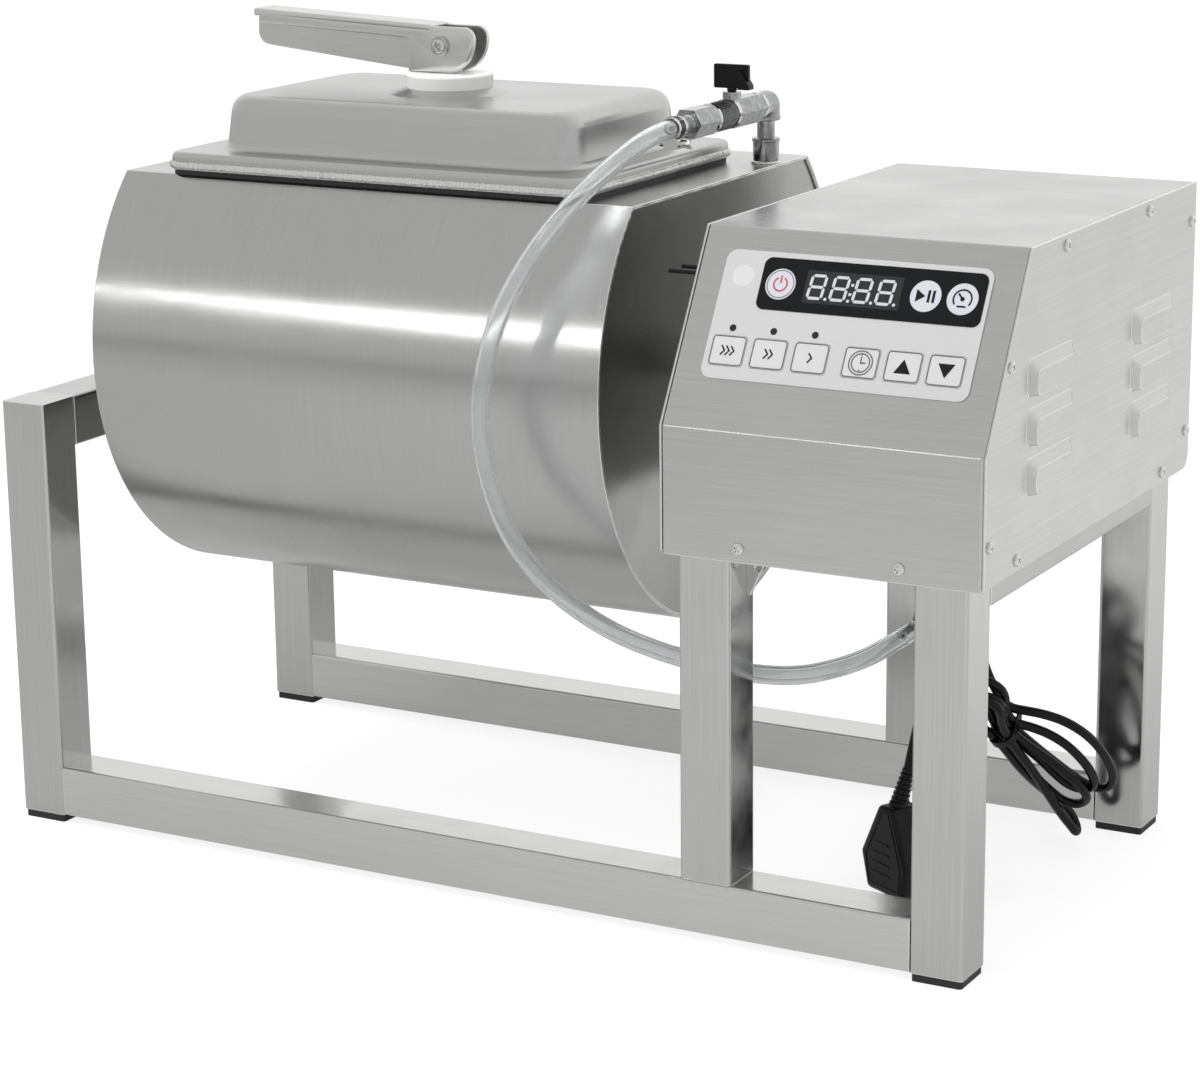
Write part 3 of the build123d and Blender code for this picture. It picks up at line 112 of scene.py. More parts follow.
def add_node(
    tree: bpy.types.NodeTree,
    kind: str,
    settings: dict[Any, Any] | None = None,
    links: dict[Any, bpy.types.NodeSocket] | None = None,
) -> bpy.types.Node:
    """Add one node with its settings and links.

    Args:
        tree: The material's or the world's node tree.
        kind: Blender's name for the node's type.
        settings: Values by the node's own property, or by input name or number.
        links: Sockets that feed the node, by input name or number.

    Returns:
        The new node.
    """
    node = tree.nodes.new(kind)
    for key, value in (settings or {}).items():
        if isinstance(key, str) and hasattr(node, key):
            setattr(node, key, value)
        else:
            node.inputs[key].default_value = value
    for key, socket in (links or {}).items():
        tree.links.new(socket, node.inputs[key])
    return node


def start_material(
    name: str, settings: dict[Any, Any]
) -> tuple[bpy.types.Material, bpy.types.NodeTree, bpy.types.Node]:
    """Start a material with a Principled shader on its output.

    Args:
        name: The material's name.
        settings: Values for the shader's own inputs.

    Returns:
        The material, its node tree and the shader.
    """
    material = bpy.data.materials.new(name)
    material.use_nodes = True
    tree = material.node_tree
    tree.nodes.clear()
    shader = add_node(tree, "ShaderNodeBsdfPrincipled", settings)
    add_node(tree, "ShaderNodeOutputMaterial", links={"Surface": shader.outputs["BSDF"]})
    return material, tree, shader


@dataclass(frozen=True)
class Place:
    """A flat place on the machine, in millimetres, with its own two directions."""

    origin: tuple[float, float, float]
    right: tuple[float, float, float] = (1.0, 0.0, 0.0)
    up: tuple[float, float, float] = (0.0, 0.0, 1.0)

    def at(self, across: float, rise: float, out: float = 0.0) -> Vector:
        """Return a point of the place in metres.

        Args:
            across: Millimetres along the place's right.
            rise: Millimetres along its up.
            out: Millimetres off its face, along right times up.

        Returns:
            The point in the row frame.
        """
        right = Vector(self.right).normalized()
        up = Vector(self.up).normalized()
        point = Vector(self.origin) + right * across + up * rise + right.cross(up) * out
        return point * MM


def circle(radius: float, count: int = 48, centre: Point = (0.0, 0.0)) -> list[Point]:
    """Return the points of a circle, counter-clockwise."""
    angles = (TURN * step / count for step in range(count))
    return [(centre[0] + radius * math.cos(a), centre[1] + radius * math.sin(a)) for a in angles]


def arc(centre: Point, radius: float, start: float, end: float, steps: int = 7) -> list[Point]:
    """Return the points of an arc between two angles in degrees."""
    angles = [math.radians(start + (end - start) * step / steps) for step in range(steps + 1)]
    return [(centre[0] + radius * math.cos(a), centre[1] + radius * math.sin(a)) for a in angles]


def moved(outline: Iterable[Sequence[float]], centre: Point) -> list[Point]:
    """Return an outline moved so that its own origin comes to a centre."""
    return [(centre[0] + x, centre[1] + y) for x, y in outline]


def rounded_rectangle(
    width: float, height: float, corner: float, centre: Point = (0.0, 0.0), steps: int = 6
) -> list[Point]:
    """Return the outline of a rectangle with round corners, counter-clockwise.

    Args:
        width: Its whole width.
        height: Its whole height.
        corner: The corners' radius.
        centre: Its middle.
        steps: How many edges each corner has.

    Returns:
        The outline's points.
    """
    points = []
    for quarter, (sx, sy) in enumerate([(1, 1), (-1, 1), (-1, -1), (1, -1)]):
        middle = (centre[0] + sx * (width / 2 - corner), centre[1] + sy * (height / 2 - corner))
        for step in range(steps + 1):
            angle = math.pi / 2 * (quarter + step / steps)
            points.append((middle[0] + corner * math.cos(angle), middle[1] + corner * math.sin(angle)))
    return points


def inward(outline: Sequence[Point], insets: Sequence[float]) -> list[Point]:
    """Return an outline moved inwards, by its own amount at each point.

    Args:
        outline: A counter-clockwise outline.
        insets: How far each point moves.

    Returns:
        The moved points.
    """
    inset = []
    for at, (x, y) in enumerate(outline):
        before, after = outline[at - 1], outline[(at + 1) % len(outline)]
        along = Vector((after[0] - before[0], after[1] - before[1])).normalized()
        inset.append((x - along.y * insets[at], y + along.x * insets[at]))
    return inset


class Draft:
    """A mesh in the making: rings of points that are joined into walls and caps."""

    def __init__(self, name: str) -> None:
        """Start an empty mesh.

        Args:
            name: The piece's name.
        """
        self.name = name
        self.points: list[Vector] = []
        self.faces: list[tuple[int, ...]] = []

    def loft(self, rings: Sequence[Sequence[Vector]], closed: bool = False, caps: bool = True) -> Draft:
        """Join rings of equal count by walls.

        Args:
            rings: The rings, in order.
            closed: Whether the last ring is joined to the first one.
            caps: Whether the first and last ring are filled.

        Returns:
            The draft itself.
        """
        count = len(rings[0])
        first = len(self.points)
        for ring in rings:
            self.points += list(ring)
        for at in range(len(rings) if closed else len(rings) - 1):
            low, high = first + at * count, first + (at + 1) % len(rings) * count
            for step in range(count):
                after = (step + 1) % count
                self.faces.append((low + step, low + after, high + after, high + step))
        if caps and not closed:
            last = first + (len(rings) - 1) * count
            self.faces.append(tuple(reversed(range(first, first + count))))
            self.faces.append(tuple(range(last, last + count)))
        return self

    def prism(self, place: Place, outline: Sequence[Point], low: float, high: float) -> Draft:
        """Add a straight solid over an outline, from one height off the place to another."""
        return self.loft([[place.at(x, y, w) for x, y in outline] for w in (low, high)])

    def band(
        self, place: Place, outer: Sequence[Point], inner: Sequence[Point], low: float, high: float
    ) -> Draft:
        """Add the solid between two outlines of equal count.

        Args:
            place: The flat place that carries it.
            outer: The outer outline.
            inner: The inner outline.
            low: Its foot off the place.
            high: Its top off the place.

        Returns:
            The draft itself.
        """
        plan = [(outer, low), (outer, high), (inner, high), (inner, low)]
        return self.loft([[place.at(x, y, w) for x, y in ring] for ring, w in plan], closed=True)

    def lathe(self, place: Place, profile: Sequence[Point], count: int = 40) -> Draft:
        """Add a turned solid about the place's normal.

        Args:
            place: Its origin lies on the axis.
            profile: Pairs of radius and height off the place.
            count: How many points each ring has.

        Returns:
            The draft itself.
        """
        rings = [[place.at(x, y, w) for x, y in circle(radius, count)] for radius, w in profile]
        return self.loft(rings)

    def sweep(
        self,
        path: Sequence[Vector],
        radius: Callable[[float], float],
        count: int = 12,
        closed: bool = False,
        bore: float = 0.0,
    ) -> Draft:
        """Add a round body along a path, by rings that don't twist.

        Args:
            path: The path's points in metres.
            radius: The body's radius in millimetres at a length in millimetres.
            count: How many points each ring has.
            closed: Whether the path comes back to its start.
            bore: The radius of a hole through an open body.

        Returns:
            The draft itself.
        """
        rings: list[list[Vector]] = []
        bores: list[list[Vector]] = []
        side = None
        done = 0.0
        for at, point in enumerate(path):
            if closed:
                along = path[(at + 1) % len(path)] - path[at - 1]
            else:
                along = path[min(at + 1, len(path) - 1)] - path[max(at - 1, 0)]
            along.normalize()
            if side is None:
                guess = Vector((0, 0, 1)) if abs(along.z) < 0.9 else Vector((1, 0, 0))
                side = along.cross(guess).normalized()
            side = (side - along * side.dot(along)).normalized()
            up = along.cross(side)
            size = radius(done / MM) * MM
            turns = [side * x + up * y for x, y in circle(1.0, count)]
            rings.append([point + turn * size for turn in turns])
            bores.append([point + turn * bore * MM for turn in turns])
            if at + 1 < len(path):
                done += (path[at + 1] - point).length
        if bore:
            return self.loft(rings + bores[::-1], closed=True)
        return self.loft(rings, closed=closed)

    def shape(self, sharp: float = 32.0) -> bpy.types.Object:
        """Make the bare object, with its normals outwards and its sharp edges marked.

        Args:
            sharp: Edges steeper than this many degrees stay sharp.

        Returns:
            The new object.
        """
        mesh = bpy.data.meshes.new(self.name)
        mesh.from_pydata(self.points, [], self.faces)
        work = bmesh.new()
        work.from_mesh(mesh)
        bmesh.ops.remove_doubles(work, verts=work.verts, dist=SAME_POINT)
        bmesh.ops.recalc_face_normals(work, faces=work.faces)
        work.to_mesh(mesh)
        work.free()
        mesh.shade_smooth()
        mesh.set_sharp_from_angle(angle=math.radians(sharp))
        piece = bpy.data.objects.new(self.name, mesh)
        bpy.context.scene.collection.objects.link(piece)
        return piece

    def build(
        self, finish: Finish, body: str, slot: str, bevel: float = 0.0, sharp: float = 32.0
    ) -> bpy.types.Object:
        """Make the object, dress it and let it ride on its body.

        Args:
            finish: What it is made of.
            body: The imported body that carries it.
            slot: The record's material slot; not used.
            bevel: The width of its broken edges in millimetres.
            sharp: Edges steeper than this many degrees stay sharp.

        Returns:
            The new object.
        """
        piece = self.shape(sharp)
        if bevel:
            edge = piece.modifiers.new("broken_edges", "BEVEL")
            edge.width = bevel * MM
            edge.segments = 3
            edge.limit_method = "ANGLE"
            edge.angle_limit = math.radians(sharp)
        piece.data.materials.append(finish.material())
        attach(piece, body)
        LOG.info("%s rides on %s in %s", self.name, body, finish.name)
        return piece


# Finishes


class Grain(Enum):
    """Which way the brush lines run. A zero marks a direction that crosses them."""

    ALONG_X = (1, 0, 0)
    ALONG_Y = (0, 1, 0)
    ALONG_Z = (0, 0, 1)
    ROUND_X = (0, 1, 1)


@dataclass(frozen=True)
class Finish:
    """What every finish has: a name, one main colour and a roughness."""

    name: str
    colour: str
    roughness: float

    def material(self) -> bpy.types.Material:
        """Return the finish's material, made the first time that it is asked for."""
        return bpy.data.materials.get(self.name) or self.make()

    def make(self) -> bpy.types.Material:
        """Make the material. Each kind of finish has its own way."""
        raise NotImplementedError

    def skin(
        self,
        tree: bpy.types.NodeTree,
        shader: bpy.types.Node,
        size: float,
        depth: float,
        second: str = "",
        detail: float = 3.0,
    ) -> bpy.types.NodeSocket:
        """Give the shader a skin that swells, and changes colour, over patches of one size.

        Args:
            tree: The material's node tree.
            shader: The shader that takes the bump and the colour.
            size: The patches' size in millimetres.
            depth: How far the skin swells, in millimetres.
            second: The colour of the low patches, or nothing for one colour all over.
            detail: How many finer layers the patches have.

        Returns:
            The socket that gives the skin's height, from nought to one.
        """
        place = add_node(tree, "ShaderNodeTexCoord").outputs["Object"]
        noise = {"Scale": 1 / MM / size, "Detail": detail}
        height = add_node(tree, "ShaderNodeTexNoise", noise, {"Vector": place}).outputs["Fac"]
        bump = add_node(
            tree, "ShaderNodeBump", {"Strength": 1.0, "Distance": depth * MM}, {"Height": height}
        )
        tree.links.new(bump.outputs["Normal"], shader.inputs["Normal"])
        if second:
            colours = {"data_type": "RGBA", 6: linear_colour(second), 7: linear_colour(self.colour)}
            colour = add_node(tree, "ShaderNodeMix", colours, {0: height})
            tree.links.new(colour.outputs[2], shader.inputs["Base Color"])
        return height


@dataclass(frozen=True)
class BrushedSteel(Finish):
    """Stainless steel sheet or tube, brushed with a belt.

    The belt leaves lines a few tenths of a millimetre apart, which are too fine to show in the render. They
    are drawn line_pitch apart, so that the eye still sees which way the sheet was brushed. An edge that
    turns is rounded over edge millimetres, and its colour is mixed towards white there as a painted
    highlight.
    """

    grain: Grain = Grain.ALONG_X
    line_pitch: float = 1.8
    line_length: float = 110.0
    line_depth: float = 0.006
    streak: str = "#B2B2B1"
    smudge_size: float = 70.0
    smudge: float = 0.05
    anisotropy: float = 0.0
    edge: float = 1.3
    full_highlight_facing: float = 0.94

    def make(self) -> bpy.types.Material:
        """Make brushed metal with streaks, patches that were rubbed smoother, and a painted highlight along
        its edges.

        Returns:
            The material.
        """
        settings = {"Metallic": 1.0, "Anisotropic": self.anisotropy, "Anisotropic Rotation": 0.25}
        material, tree, shader = start_material(self.name, settings)
        place = add_node(tree, "ShaderNodeTexCoord").outputs["Object"]
        stretch = [1 / MM / (self.line_length if along else self.line_pitch) for along in self.grain.value]
        brushed = add_node(tree, "ShaderNodeMapping", {"Scale": stretch}, {"Vector": place})
        noise = {"Scale": 1.0, "Detail": 1.5, "Roughness": 0.5}
        lines = add_node(tree, "ShaderNodeTexNoise", noise, {"Vector": brushed.outputs["Vector"]})
        colours = {"data_type": "RGBA", 6: linear_colour(self.streak), 7: linear_colour(self.colour)}
        colour = add_node(tree, "ShaderNodeMix", colours, {0: lines.outputs["Fac"]})

        rounded = add_node(tree, "ShaderNodeBevel", {"samples": 6, "Radius": self.edge * MM})
        face = add_node(tree, "ShaderNodeNewGeometry")
        facing = add_node(
            tree,
            "ShaderNodeVectorMath",
            {"operation": "DOT_PRODUCT"},
            {0: rounded.outputs["Normal"], 1: face.outputs["Normal"]},
        )
        # Where the rounded normal turns from the face's, the colour is mixed towards white: a painted
        # highlight along the edges.
        span = {"From Min": 1.0, "From Max": self.full_highlight_facing}
        edge_highlight = add_node(tree, "ShaderNodeMapRange", span, {"Value": facing.outputs["Value"]})
        shine = add_node(
            tree,
            "ShaderNodeMix",
            {"data_type": "RGBA", 7: linear_colour("#FFFFFF")},
            {0: edge_highlight.outputs["Result"], 6: colour.outputs[2]},
        )
        tree.links.new(shine.outputs[2], shader.inputs["Base Color"])

        patches = {"Scale": 1 / MM / self.smudge_size, "Detail": 2.0}
        smudges = add_node(tree, "ShaderNodeTexNoise", patches, {"Vector": place})
        levels = {"To Min": self.roughness - self.smudge, "To Max": self.roughness + self.smudge}
        rough = add_node(
            tree, "ShaderNodeMapRange", NOISE_SPAN | levels, {"Value": smudges.outputs["Fac"]}
        )
        tree.links.new(rough.outputs["Result"], shader.inputs["Roughness"])

        bump = add_node(
            tree,
            "ShaderNodeBump",
            {"Strength": 1.0, "Distance": self.line_depth * MM},
            {"Height": lines.outputs["Fac"], "Normal": rounded.outputs["Normal"]},
        )
        tree.links.new(bump.outputs["Normal"], shader.inputs["Normal"])
        if self.anisotropy:
            tangent = add_node(tree, "ShaderNodeTangent", {"direction_type": "RADIAL", "axis": "X"})
            tree.links.new(tangent.outputs["Tangent"], shader.inputs["Tangent"])
        return material


@dataclass(frozen=True)
class BareMetal(Finish):
    """Plated, turned, cast or welded metal: no brush lines, but a skin that is not quite even."""

    grit: float = 8.0
    depth: float = 0.02
    # The colour of the skin's low patches: a stain on most metals, and a painted reflection on nickel.
    stain_and_reflection: str = "#A8A8A6"
    dulling: float = 0.25

    def make(self) -> bpy.types.Material:
        """Make metal whose skin swells and dulls over patches of the grit's size.

        Returns:
            The material.
        """
        material, tree, shader = start_material(self.name, {"Metallic": 1.0})
        height = self.skin(tree, shader, self.grit, self.depth, self.stain_and_reflection)
        levels = {
            "To Min": self.roughness * (1 - self.dulling),
            "To Max": self.roughness * (1 + self.dulling),
        }
        rough = add_node(tree, "ShaderNodeMapRange", NOISE_SPAN | levels, {"Value": height})
        tree.links.new(rough.outputs["Result"], shader.inputs["Roughness"])
        return material


@dataclass(frozen=True)
class Moulded(Finish):
    """Plastic, rubber, film, paint or ink: a coloured body under a skin with a fine grain."""

    grain_size: float = 0.8
    depth: float = 0.01
    second: str = ""
    ior: float = 1.5
    soft: float = 0.0
    soft_reach: float = 4.0

    def make(self) -> bpy.types.Material:
        """Make a dielectric whose grain shows as a fine bump and a slight change of colour.

        Returns:
            The material.
        """
        settings = {
            "Base Color": linear_colour(self.colour),
            "IOR": self.ior,
            "Roughness": self.roughness,
            "Subsurface Weight": self.soft,
            "Subsurface Scale": self.soft_reach * MM,
        }
        material, tree, shader = start_material(self.name, settings)
        self.skin(tree, shader, self.grain_size, self.depth, self.second)
        return material


@dataclass(frozen=True)
class ClearVinyl(Finish):
    """Clear PVC tube, drawn through a die, which leaves it faintly ribbed along its length."""

    ior: float = 1.45
    wave: float = 9.0
    wave_depth: float = 0.05
    clearness: float = 0.92

    def make(self) -> bpy.types.Material:
        """Make a clear wall that is not quite even, so that its reflections waver.

        Returns:
            The material.
        """
        settings = {
            "Base Color": linear_colour(self.colour),
            "Roughness": self.roughness,
            "IOR": self.ior,
            "Transmission Weight": self.clearness,
        }
        material, tree, shader = start_material(self.name, settings)
        self.skin(tree, shader, self.wave, self.wave_depth, detail=1.0)
        return material


# Belt-brushed sheet, as on any catering machine: grey, with soft reflections and no colour of its own.
SHEET = BrushedSteel("brushed_stainless_sheet_x", "#CBCBCA", 0.27, streak="#BDBDBC")
SHEET_DEEP = BrushedSteel(
    "brushed_stainless_sheet_y", "#CFCFCE", 0.26, grain=Grain.ALONG_Y, streak="#C2C2C1", line_depth=0.004
)
# Sheet that was brushed round the drum: the lines pull each highlight out into a band along the drum.
# Its colour is darker than the box's sheet, as painted shade.
DRUM_SKIN = BrushedSteel(
    "brushed_stainless_drum_skin",
    "#BFBFBE",
    0.24,
    grain=Grain.ROUND_X,
    streak="#B8B8B7",
    line_length=60.0,
    anisotropy=0.75,
)
# The ends, the mouth frame and the baffles are darker still: painted shade, for the dark gap between the
# drum's right end and the box.
DRUM_END = BrushedSteel(
    "brushed_stainless_drum_end", "#B0B0AF", 0.24, grain=Grain.ALONG_Z, streak="#A2A2A1"
)
# Deep-drawn and folded sheet: the press stretches the brush lines, so the faces look softer.
LID_SKIN = BrushedSteel(
    "pressed_stainless_lid", "#C6C6C5", 0.3, streak="#BFBFBE", line_length=60.0, smudge=0.03
)
# The lever's steel is paler than the lid's, as painted light.
LEVER_SKIN = BrushedSteel(
    "pressed_stainless_lever", "#DADAD9", 0.24, streak="#CECECD", line_length=40.0, smudge_size=30.0
)
# Square tube is polished with a flap wheel: it mirrors, but its walls are wavy, so the mirror image smears.
# The three tubes are one steel; their colours differ by the way each runs, as painted light and shade: the
# long rails paler, the cross tubes darker.
TUBE_UPRIGHT = BrushedSteel(
    "polished_tube_upright", "#C8C8C7", 0.17, grain=Grain.ALONG_Z, streak="#BCBCBB", smudge_size=38.0
)
TUBE_LONG = BrushedSteel("polished_tube_long", "#D4D4D3", 0.17, streak="#C8C8C7", smudge_size=38.0)
TUBE_CROSS = BrushedSteel(
    "polished_tube_cross", "#B9B9B8", 0.17, grain=Grain.ALONG_Y, streak="#AEAEAD", smudge_size=38.0
)
# A weld bead that was only wire-brushed: rippled and slightly sparkling. Its near-white colour, paler than
# the sheet's, is a painted highlight.
WELD = BareMetal("wire_brushed_weld", "#FAFAF8", 0.34, grit=1.6, depth=0.12, stain_and_reflection="#C4C4C2")
# Steel off the lathe or the grinder: clean and bright, a little dulled by handling.
TURNED = BareMetal("turned_stainless", "#CFCFCD", 0.2, grit=5.0)
BEARING = BareMetal("ground_bearing_steel", "#BDBDBB", 0.16, grit=6.0)
# Nickel on brass: its dark patches of colour are a painted reflection of the dark and light patches that it
# mirrors.
NICKEL = BareMetal("nickel_plated_brass", "#C8C9C9", 0.12, grit=5.0, depth=0.06, stain_and_reflection="#6E6F70")
# The knurled nut is coloured dark grey all over, with darker patches.
DARK_NICKEL = BareMetal("dark_nickel_knurl", "#6E6F70", 0.22, grit=2.5, depth=0.05, stain_and_reflection="#3A3B3C")
# Chrome and bright zinc: small parts that catch a sharp glint.
BRIGHT_PLATE = BareMetal("chromed_brass", "#E4E4E2", 0.07, grit=10.0, stain_and_reflection="#C9C9C7")
SCREW_STEEL = BareMetal("plated_screw_steel", "#F2F2F0", 0.1, grit=2.0, stain_and_reflection="#C5C5C3")
# Sand-cast aluminium: a dull, pitted grey.
CAST_ALLOY = BareMetal("sand_cast_aluminium", "#A9ABAC", 0.48, grit=1.2, depth=0.1, stain_and_reflection="#8C8E8F")
# Painted iron and a stove-enamelled motor: an even coat that shows the casting's grain under it.
CAST_IRON = Moulded("painted_cast_iron", "#4A4F53", 0.5, grain_size=1.4, depth=0.08, second="#3C4043")
MOTOR_PAINT = Moulded(
    "stove_enamelled_motor", "#3B4046", 0.38, grain_size=1.0, depth=0.03, second="#33373C"
)
# A glass fibre board under green solder mask: glossy, with a slight weave.
BOARD = Moulded("solder_masked_board", "#1E5A3A", 0.35, grain_size=3.0, second="#174A2F")
# Screen-printed polyester film: pale grey, slightly satin, with a faint orange-peel skin.
FILM = Moulded("printed_polyester_film", "#CACACA", 0.36, grain_size=1.5, depth=0.01, second="#C4C4C4")
FILM_LIGHT = Moulded("bare_polyester_film", "#D6D6D6", 0.3, grain_size=1.5, second="#D2D2D2")
KEY_DISC = Moulded("silver_key_film", "#D4D4DC", 0.32, grain_size=1.0, second="#CACAD2")
KEY_SQUARE = Moulded("domed_key_film", "#CECECE", 0.34, grain_size=1.2, second="#D0D0D0")
# Smoked acrylic over unlit digits: black and glossy, with the pale segments just behind it.
WINDOW = Moulded("smoked_acrylic_window", "#0E0F10", 0.12, grain_size=12.0, second="#131416", ior=1.3)
DIGIT_BLOCK = Moulded("led_block_face", "#303133", 0.3, grain_size=2.0, second="#2A2B2D", ior=1.3)
DIGIT_OFF = Moulded("unlit_led_segment", "#D2D3D4", 0.42, grain_size=1.0, second="#C4C5C6")
LAMP = Moulded("unlit_indicator_lens", "#161617", 0.2, grain_size=2.0)
# Printing ink on film: flat and matt, with no thickness that the eye can see.
INK = Moulded("black_printing_ink", "#151516", 0.45, grain_size=0.6, second="#1B1B1C", ior=1.3)
INK_SOFT = Moulded("grey_printing_ink", "#5C5C5F", 0.45, grain_size=0.6, second="#66666A")
INK_RED = Moulded("red_printing_ink", "#B4505C", 0.4, grain_size=0.6, second="#C0626C")
# Nylon off the lathe: white and waxy, with light that sinks in a little.
NYLON = Moulded(
    "machined_nylon", "#F8F8F6", 0.34, grain_size=1.2, depth=0.02, second="#F1F1EE", soft=0.15
)
# Black mouldings: ABS has a soft shine, rubber is dull, silicone lies between, and the cord is glossiest.
ABS = Moulded(
    "black_moulded_abs", "#101011", 0.26, grain_size=0.7, depth=0.015, second="#161617", ior=1.3
)
RUBBER = Moulded("black_moulded_rubber", "#202021", 0.6, grain_size=0.9, depth=0.03, second="#292929")
SEAL = Moulded("black_silicone_seal", "#18181A", 0.5, grain_size=1.5)
CORD_SKIN = Moulded(
    "black_pvc_cord", "#0E0E0F", 0.24, grain_size=0.7, depth=0.012, second="#141415", ior=1.3
)
# Clear PVC off the extruder: see-through, with a faint waver in what it mirrors.
VINYL = ClearVinyl("clear_pvc_tube", "#F6F8F8", 0.04)


FRAME: dict[str, Any] = {}


def dress(finish: Finish, *nodes: str) -> None:
    """Give CAD nodes a finish.

    Args:
        finish: What they are made of.
        nodes: Their names.
    """
    for node in nodes:
        piece = FRAME["nodes"][node]
        for slot in piece.material_slots:
            slot.material = finish.material()
        LOG.info("%s is dressed in %s", node, finish.name)


# Sub-assemblies


@dataclass
class TubeFrame:
    """The welded frame of 40 mm square tube, its gussets and its feet."""

    flat_rail_x: float = 197.5
    flat_rail_rise: float = 299.0
    flat_rail_ends: Point = (-192.3, 206.5)
    plate_length: float = 36.8
    plate_width: float = 10.8
    plate_corner: float = 1.2
    plate_reach: float = 0.6

    def build(self) -> None:
        """Dress the frame and close the ends of the flat rail."""
        dress(TUBE_UPRIGHT, "left_posts", "inner_legs", "outer_legs", "corner_gussets")
        dress(TUBE_LONG, "bottom_rails")
        dress(TUBE_CROSS, "left_top_beam", "box_rails")
        dress(RUBBER, "rubber_feet")
        plates = Draft("rail_end_plates")
        outline = rounded_rectangle(self.plate_length, self.plate_width, self.plate_corner, steps=3)
        for y in self.flat_rail_ends:
            place = Place((self.flat_rail_x, y, self.flat_rail_rise))
            plates.prism(place, outline, -self.plate_reach, self.plate_reach)
        plates.build(TUBE_CROSS, "frame", "sheet_steel")


@dataclass
class InnerParts:
    """What the box and the left beam carry: bearing, gearbox, motor, pump, board and switch."""

    def build(self) -> None:
        """Dress the parts that a look under the box or behind the drum shows."""
        dress(CAST_IRON, "bearing_housing", "gearbox")
        dress(BEARING, "bearing_insert")
        dress(SCREW_STEEL, "bearing_bolts")
        dress(MOTOR_PAINT, "drive_motor")
        dress(CAST_ALLOY, "vacuum_pump")
        dress(NICKEL, "pump_port")
        dress(BOARD, "control_board")
        dress(ABS, "position_switch", "cord_gland")


@dataclass(frozen=True)
class CrossScrew:
    """A pan head screw with a cross recess. Its head's profile is in shares of its radius and height."""

    head: float = 9.0
    head_height: float = 2.2
    head_profile: tuple[Point, ...] = ((1.0, 0.0), (1.0, 0.35), (0.94, 0.66), (0.8, 0.88), (0.62, 1.0))
    shank: float = 4.0
    length: float = 6.0
    slot_arm: float = 2.5
    slot_width: float = 1.2
    slot_depth: float = 1.3
    slot_taper: float = 0.75

    def reach(self, angle: float) -> float:
        """Return how far the cross recess reaches from the screw's axis at an angle.

        Args:
            angle: The angle round the axis, in radians from one arm.

        Returns:
            The reach in millimetres.
        """
        from_arm = (angle + math.pi / 4) % (math.pi / 2) - math.pi / 4
        half = self.slot_width / 2
        if abs(math.tan(from_arm)) <= half / self.slot_arm:
            return self.slot_arm / math.cos(from_arm)
        return half / abs(math.sin(from_arm))

    def add(self, draft: Draft, place: Place, turn: float) -> None:
        """Add one screw to a mesh.

        Args:
            draft: The mesh that takes it.
            place: Its origin is under the middle of the head.
            turn: The recess's turn in radians.
        """
        corner = math.atan2(self.slot_width / 2, self.slot_arm)
        angles = []
        for quarter in range(4):
            start = quarter * math.pi / 2
            angles += [start - corner, start, start + corner]
            angles += [start + math.pi / 8, start + math.pi / 4, start + 3 * math.pi / 8]

        def ring(radii: Sequence[float], out: float) -> list[Vector]:
            """Return a ring with its own radius at each angle."""
            spots = [(r * math.cos(a + turn), r * math.sin(a + turn)) for r, a in zip(radii, angles)]
            return [place.at(x, y, out) for x, y in spots]

        top = self.head_height
        profile = [(self.shank / 2, -self.length), (self.shank / 2, 0.0)]
        profile += [(self.head / 2 * across, top * rise) for across, rise in self.head_profile]
        cross = [self.reach(a) for a in angles]
        rings = [ring([radius] * len(angles), out) for radius, out in profile]
        rings.append(ring(cross, top))
        rings.append(ring([self.slot_taper * reach for reach in cross], top - self.slot_depth))
        draft.loft(rings)


@dataclass
class ControlBox:
    """The control box: bent sheet, side panels and pan head cross screws."""

    left: float = 169.5
    right: float = 413.5
    front: float = -204.9
    rear: float = 201.1
    side_screws: tuple[Point, ...] = (
        (-66.8, 504.0),
        (99.1, 504.0),
        (193.1, 483.0),
        (193.1, 322.0),
        (142.1, 300.0),
        (-147.9, 300.0),
        (-196.9, 320.0),
        (-164.2, 436.5),
    )
    screw_columns: Point = (230.5, 351.5)
    front_screw_height: float = 300.0
    rear_screw_height: float = 318.0
    screw: CrossScrew = CrossScrew()
    turn_seed: int = 7

    def build(self) -> None:
        """Dress the sheets and set the screws, each turned as it happened to stop."""
        dress(SHEET, "housing_wrap", "base_tray")
        dress(SHEET_DEEP, "left_side_panel", "right_side_panel")
        places = [Place((self.right, y, z), (0, 1, 0)) for y, z in self.side_screws]
        places += [Place((self.left, y, z), (0, -1, 0)) for y, z in self.side_screws]
        places += [Place((x, self.front, self.front_screw_height)) for x in self.screw_columns]
        places += [Place((x, self.rear, self.rear_screw_height), (-1, 0, 0)) for x in self.screw_columns]
        turns = random.Random(self.turn_seed)
        draft = Draft("cross_screws")
        for place in places:
            self.screw.add(draft, place, turns.uniform(0, math.pi / 2))
        screws = draft.build(SCREW_STEEL, "frame", "bright_steel")
        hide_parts("housing_screws")


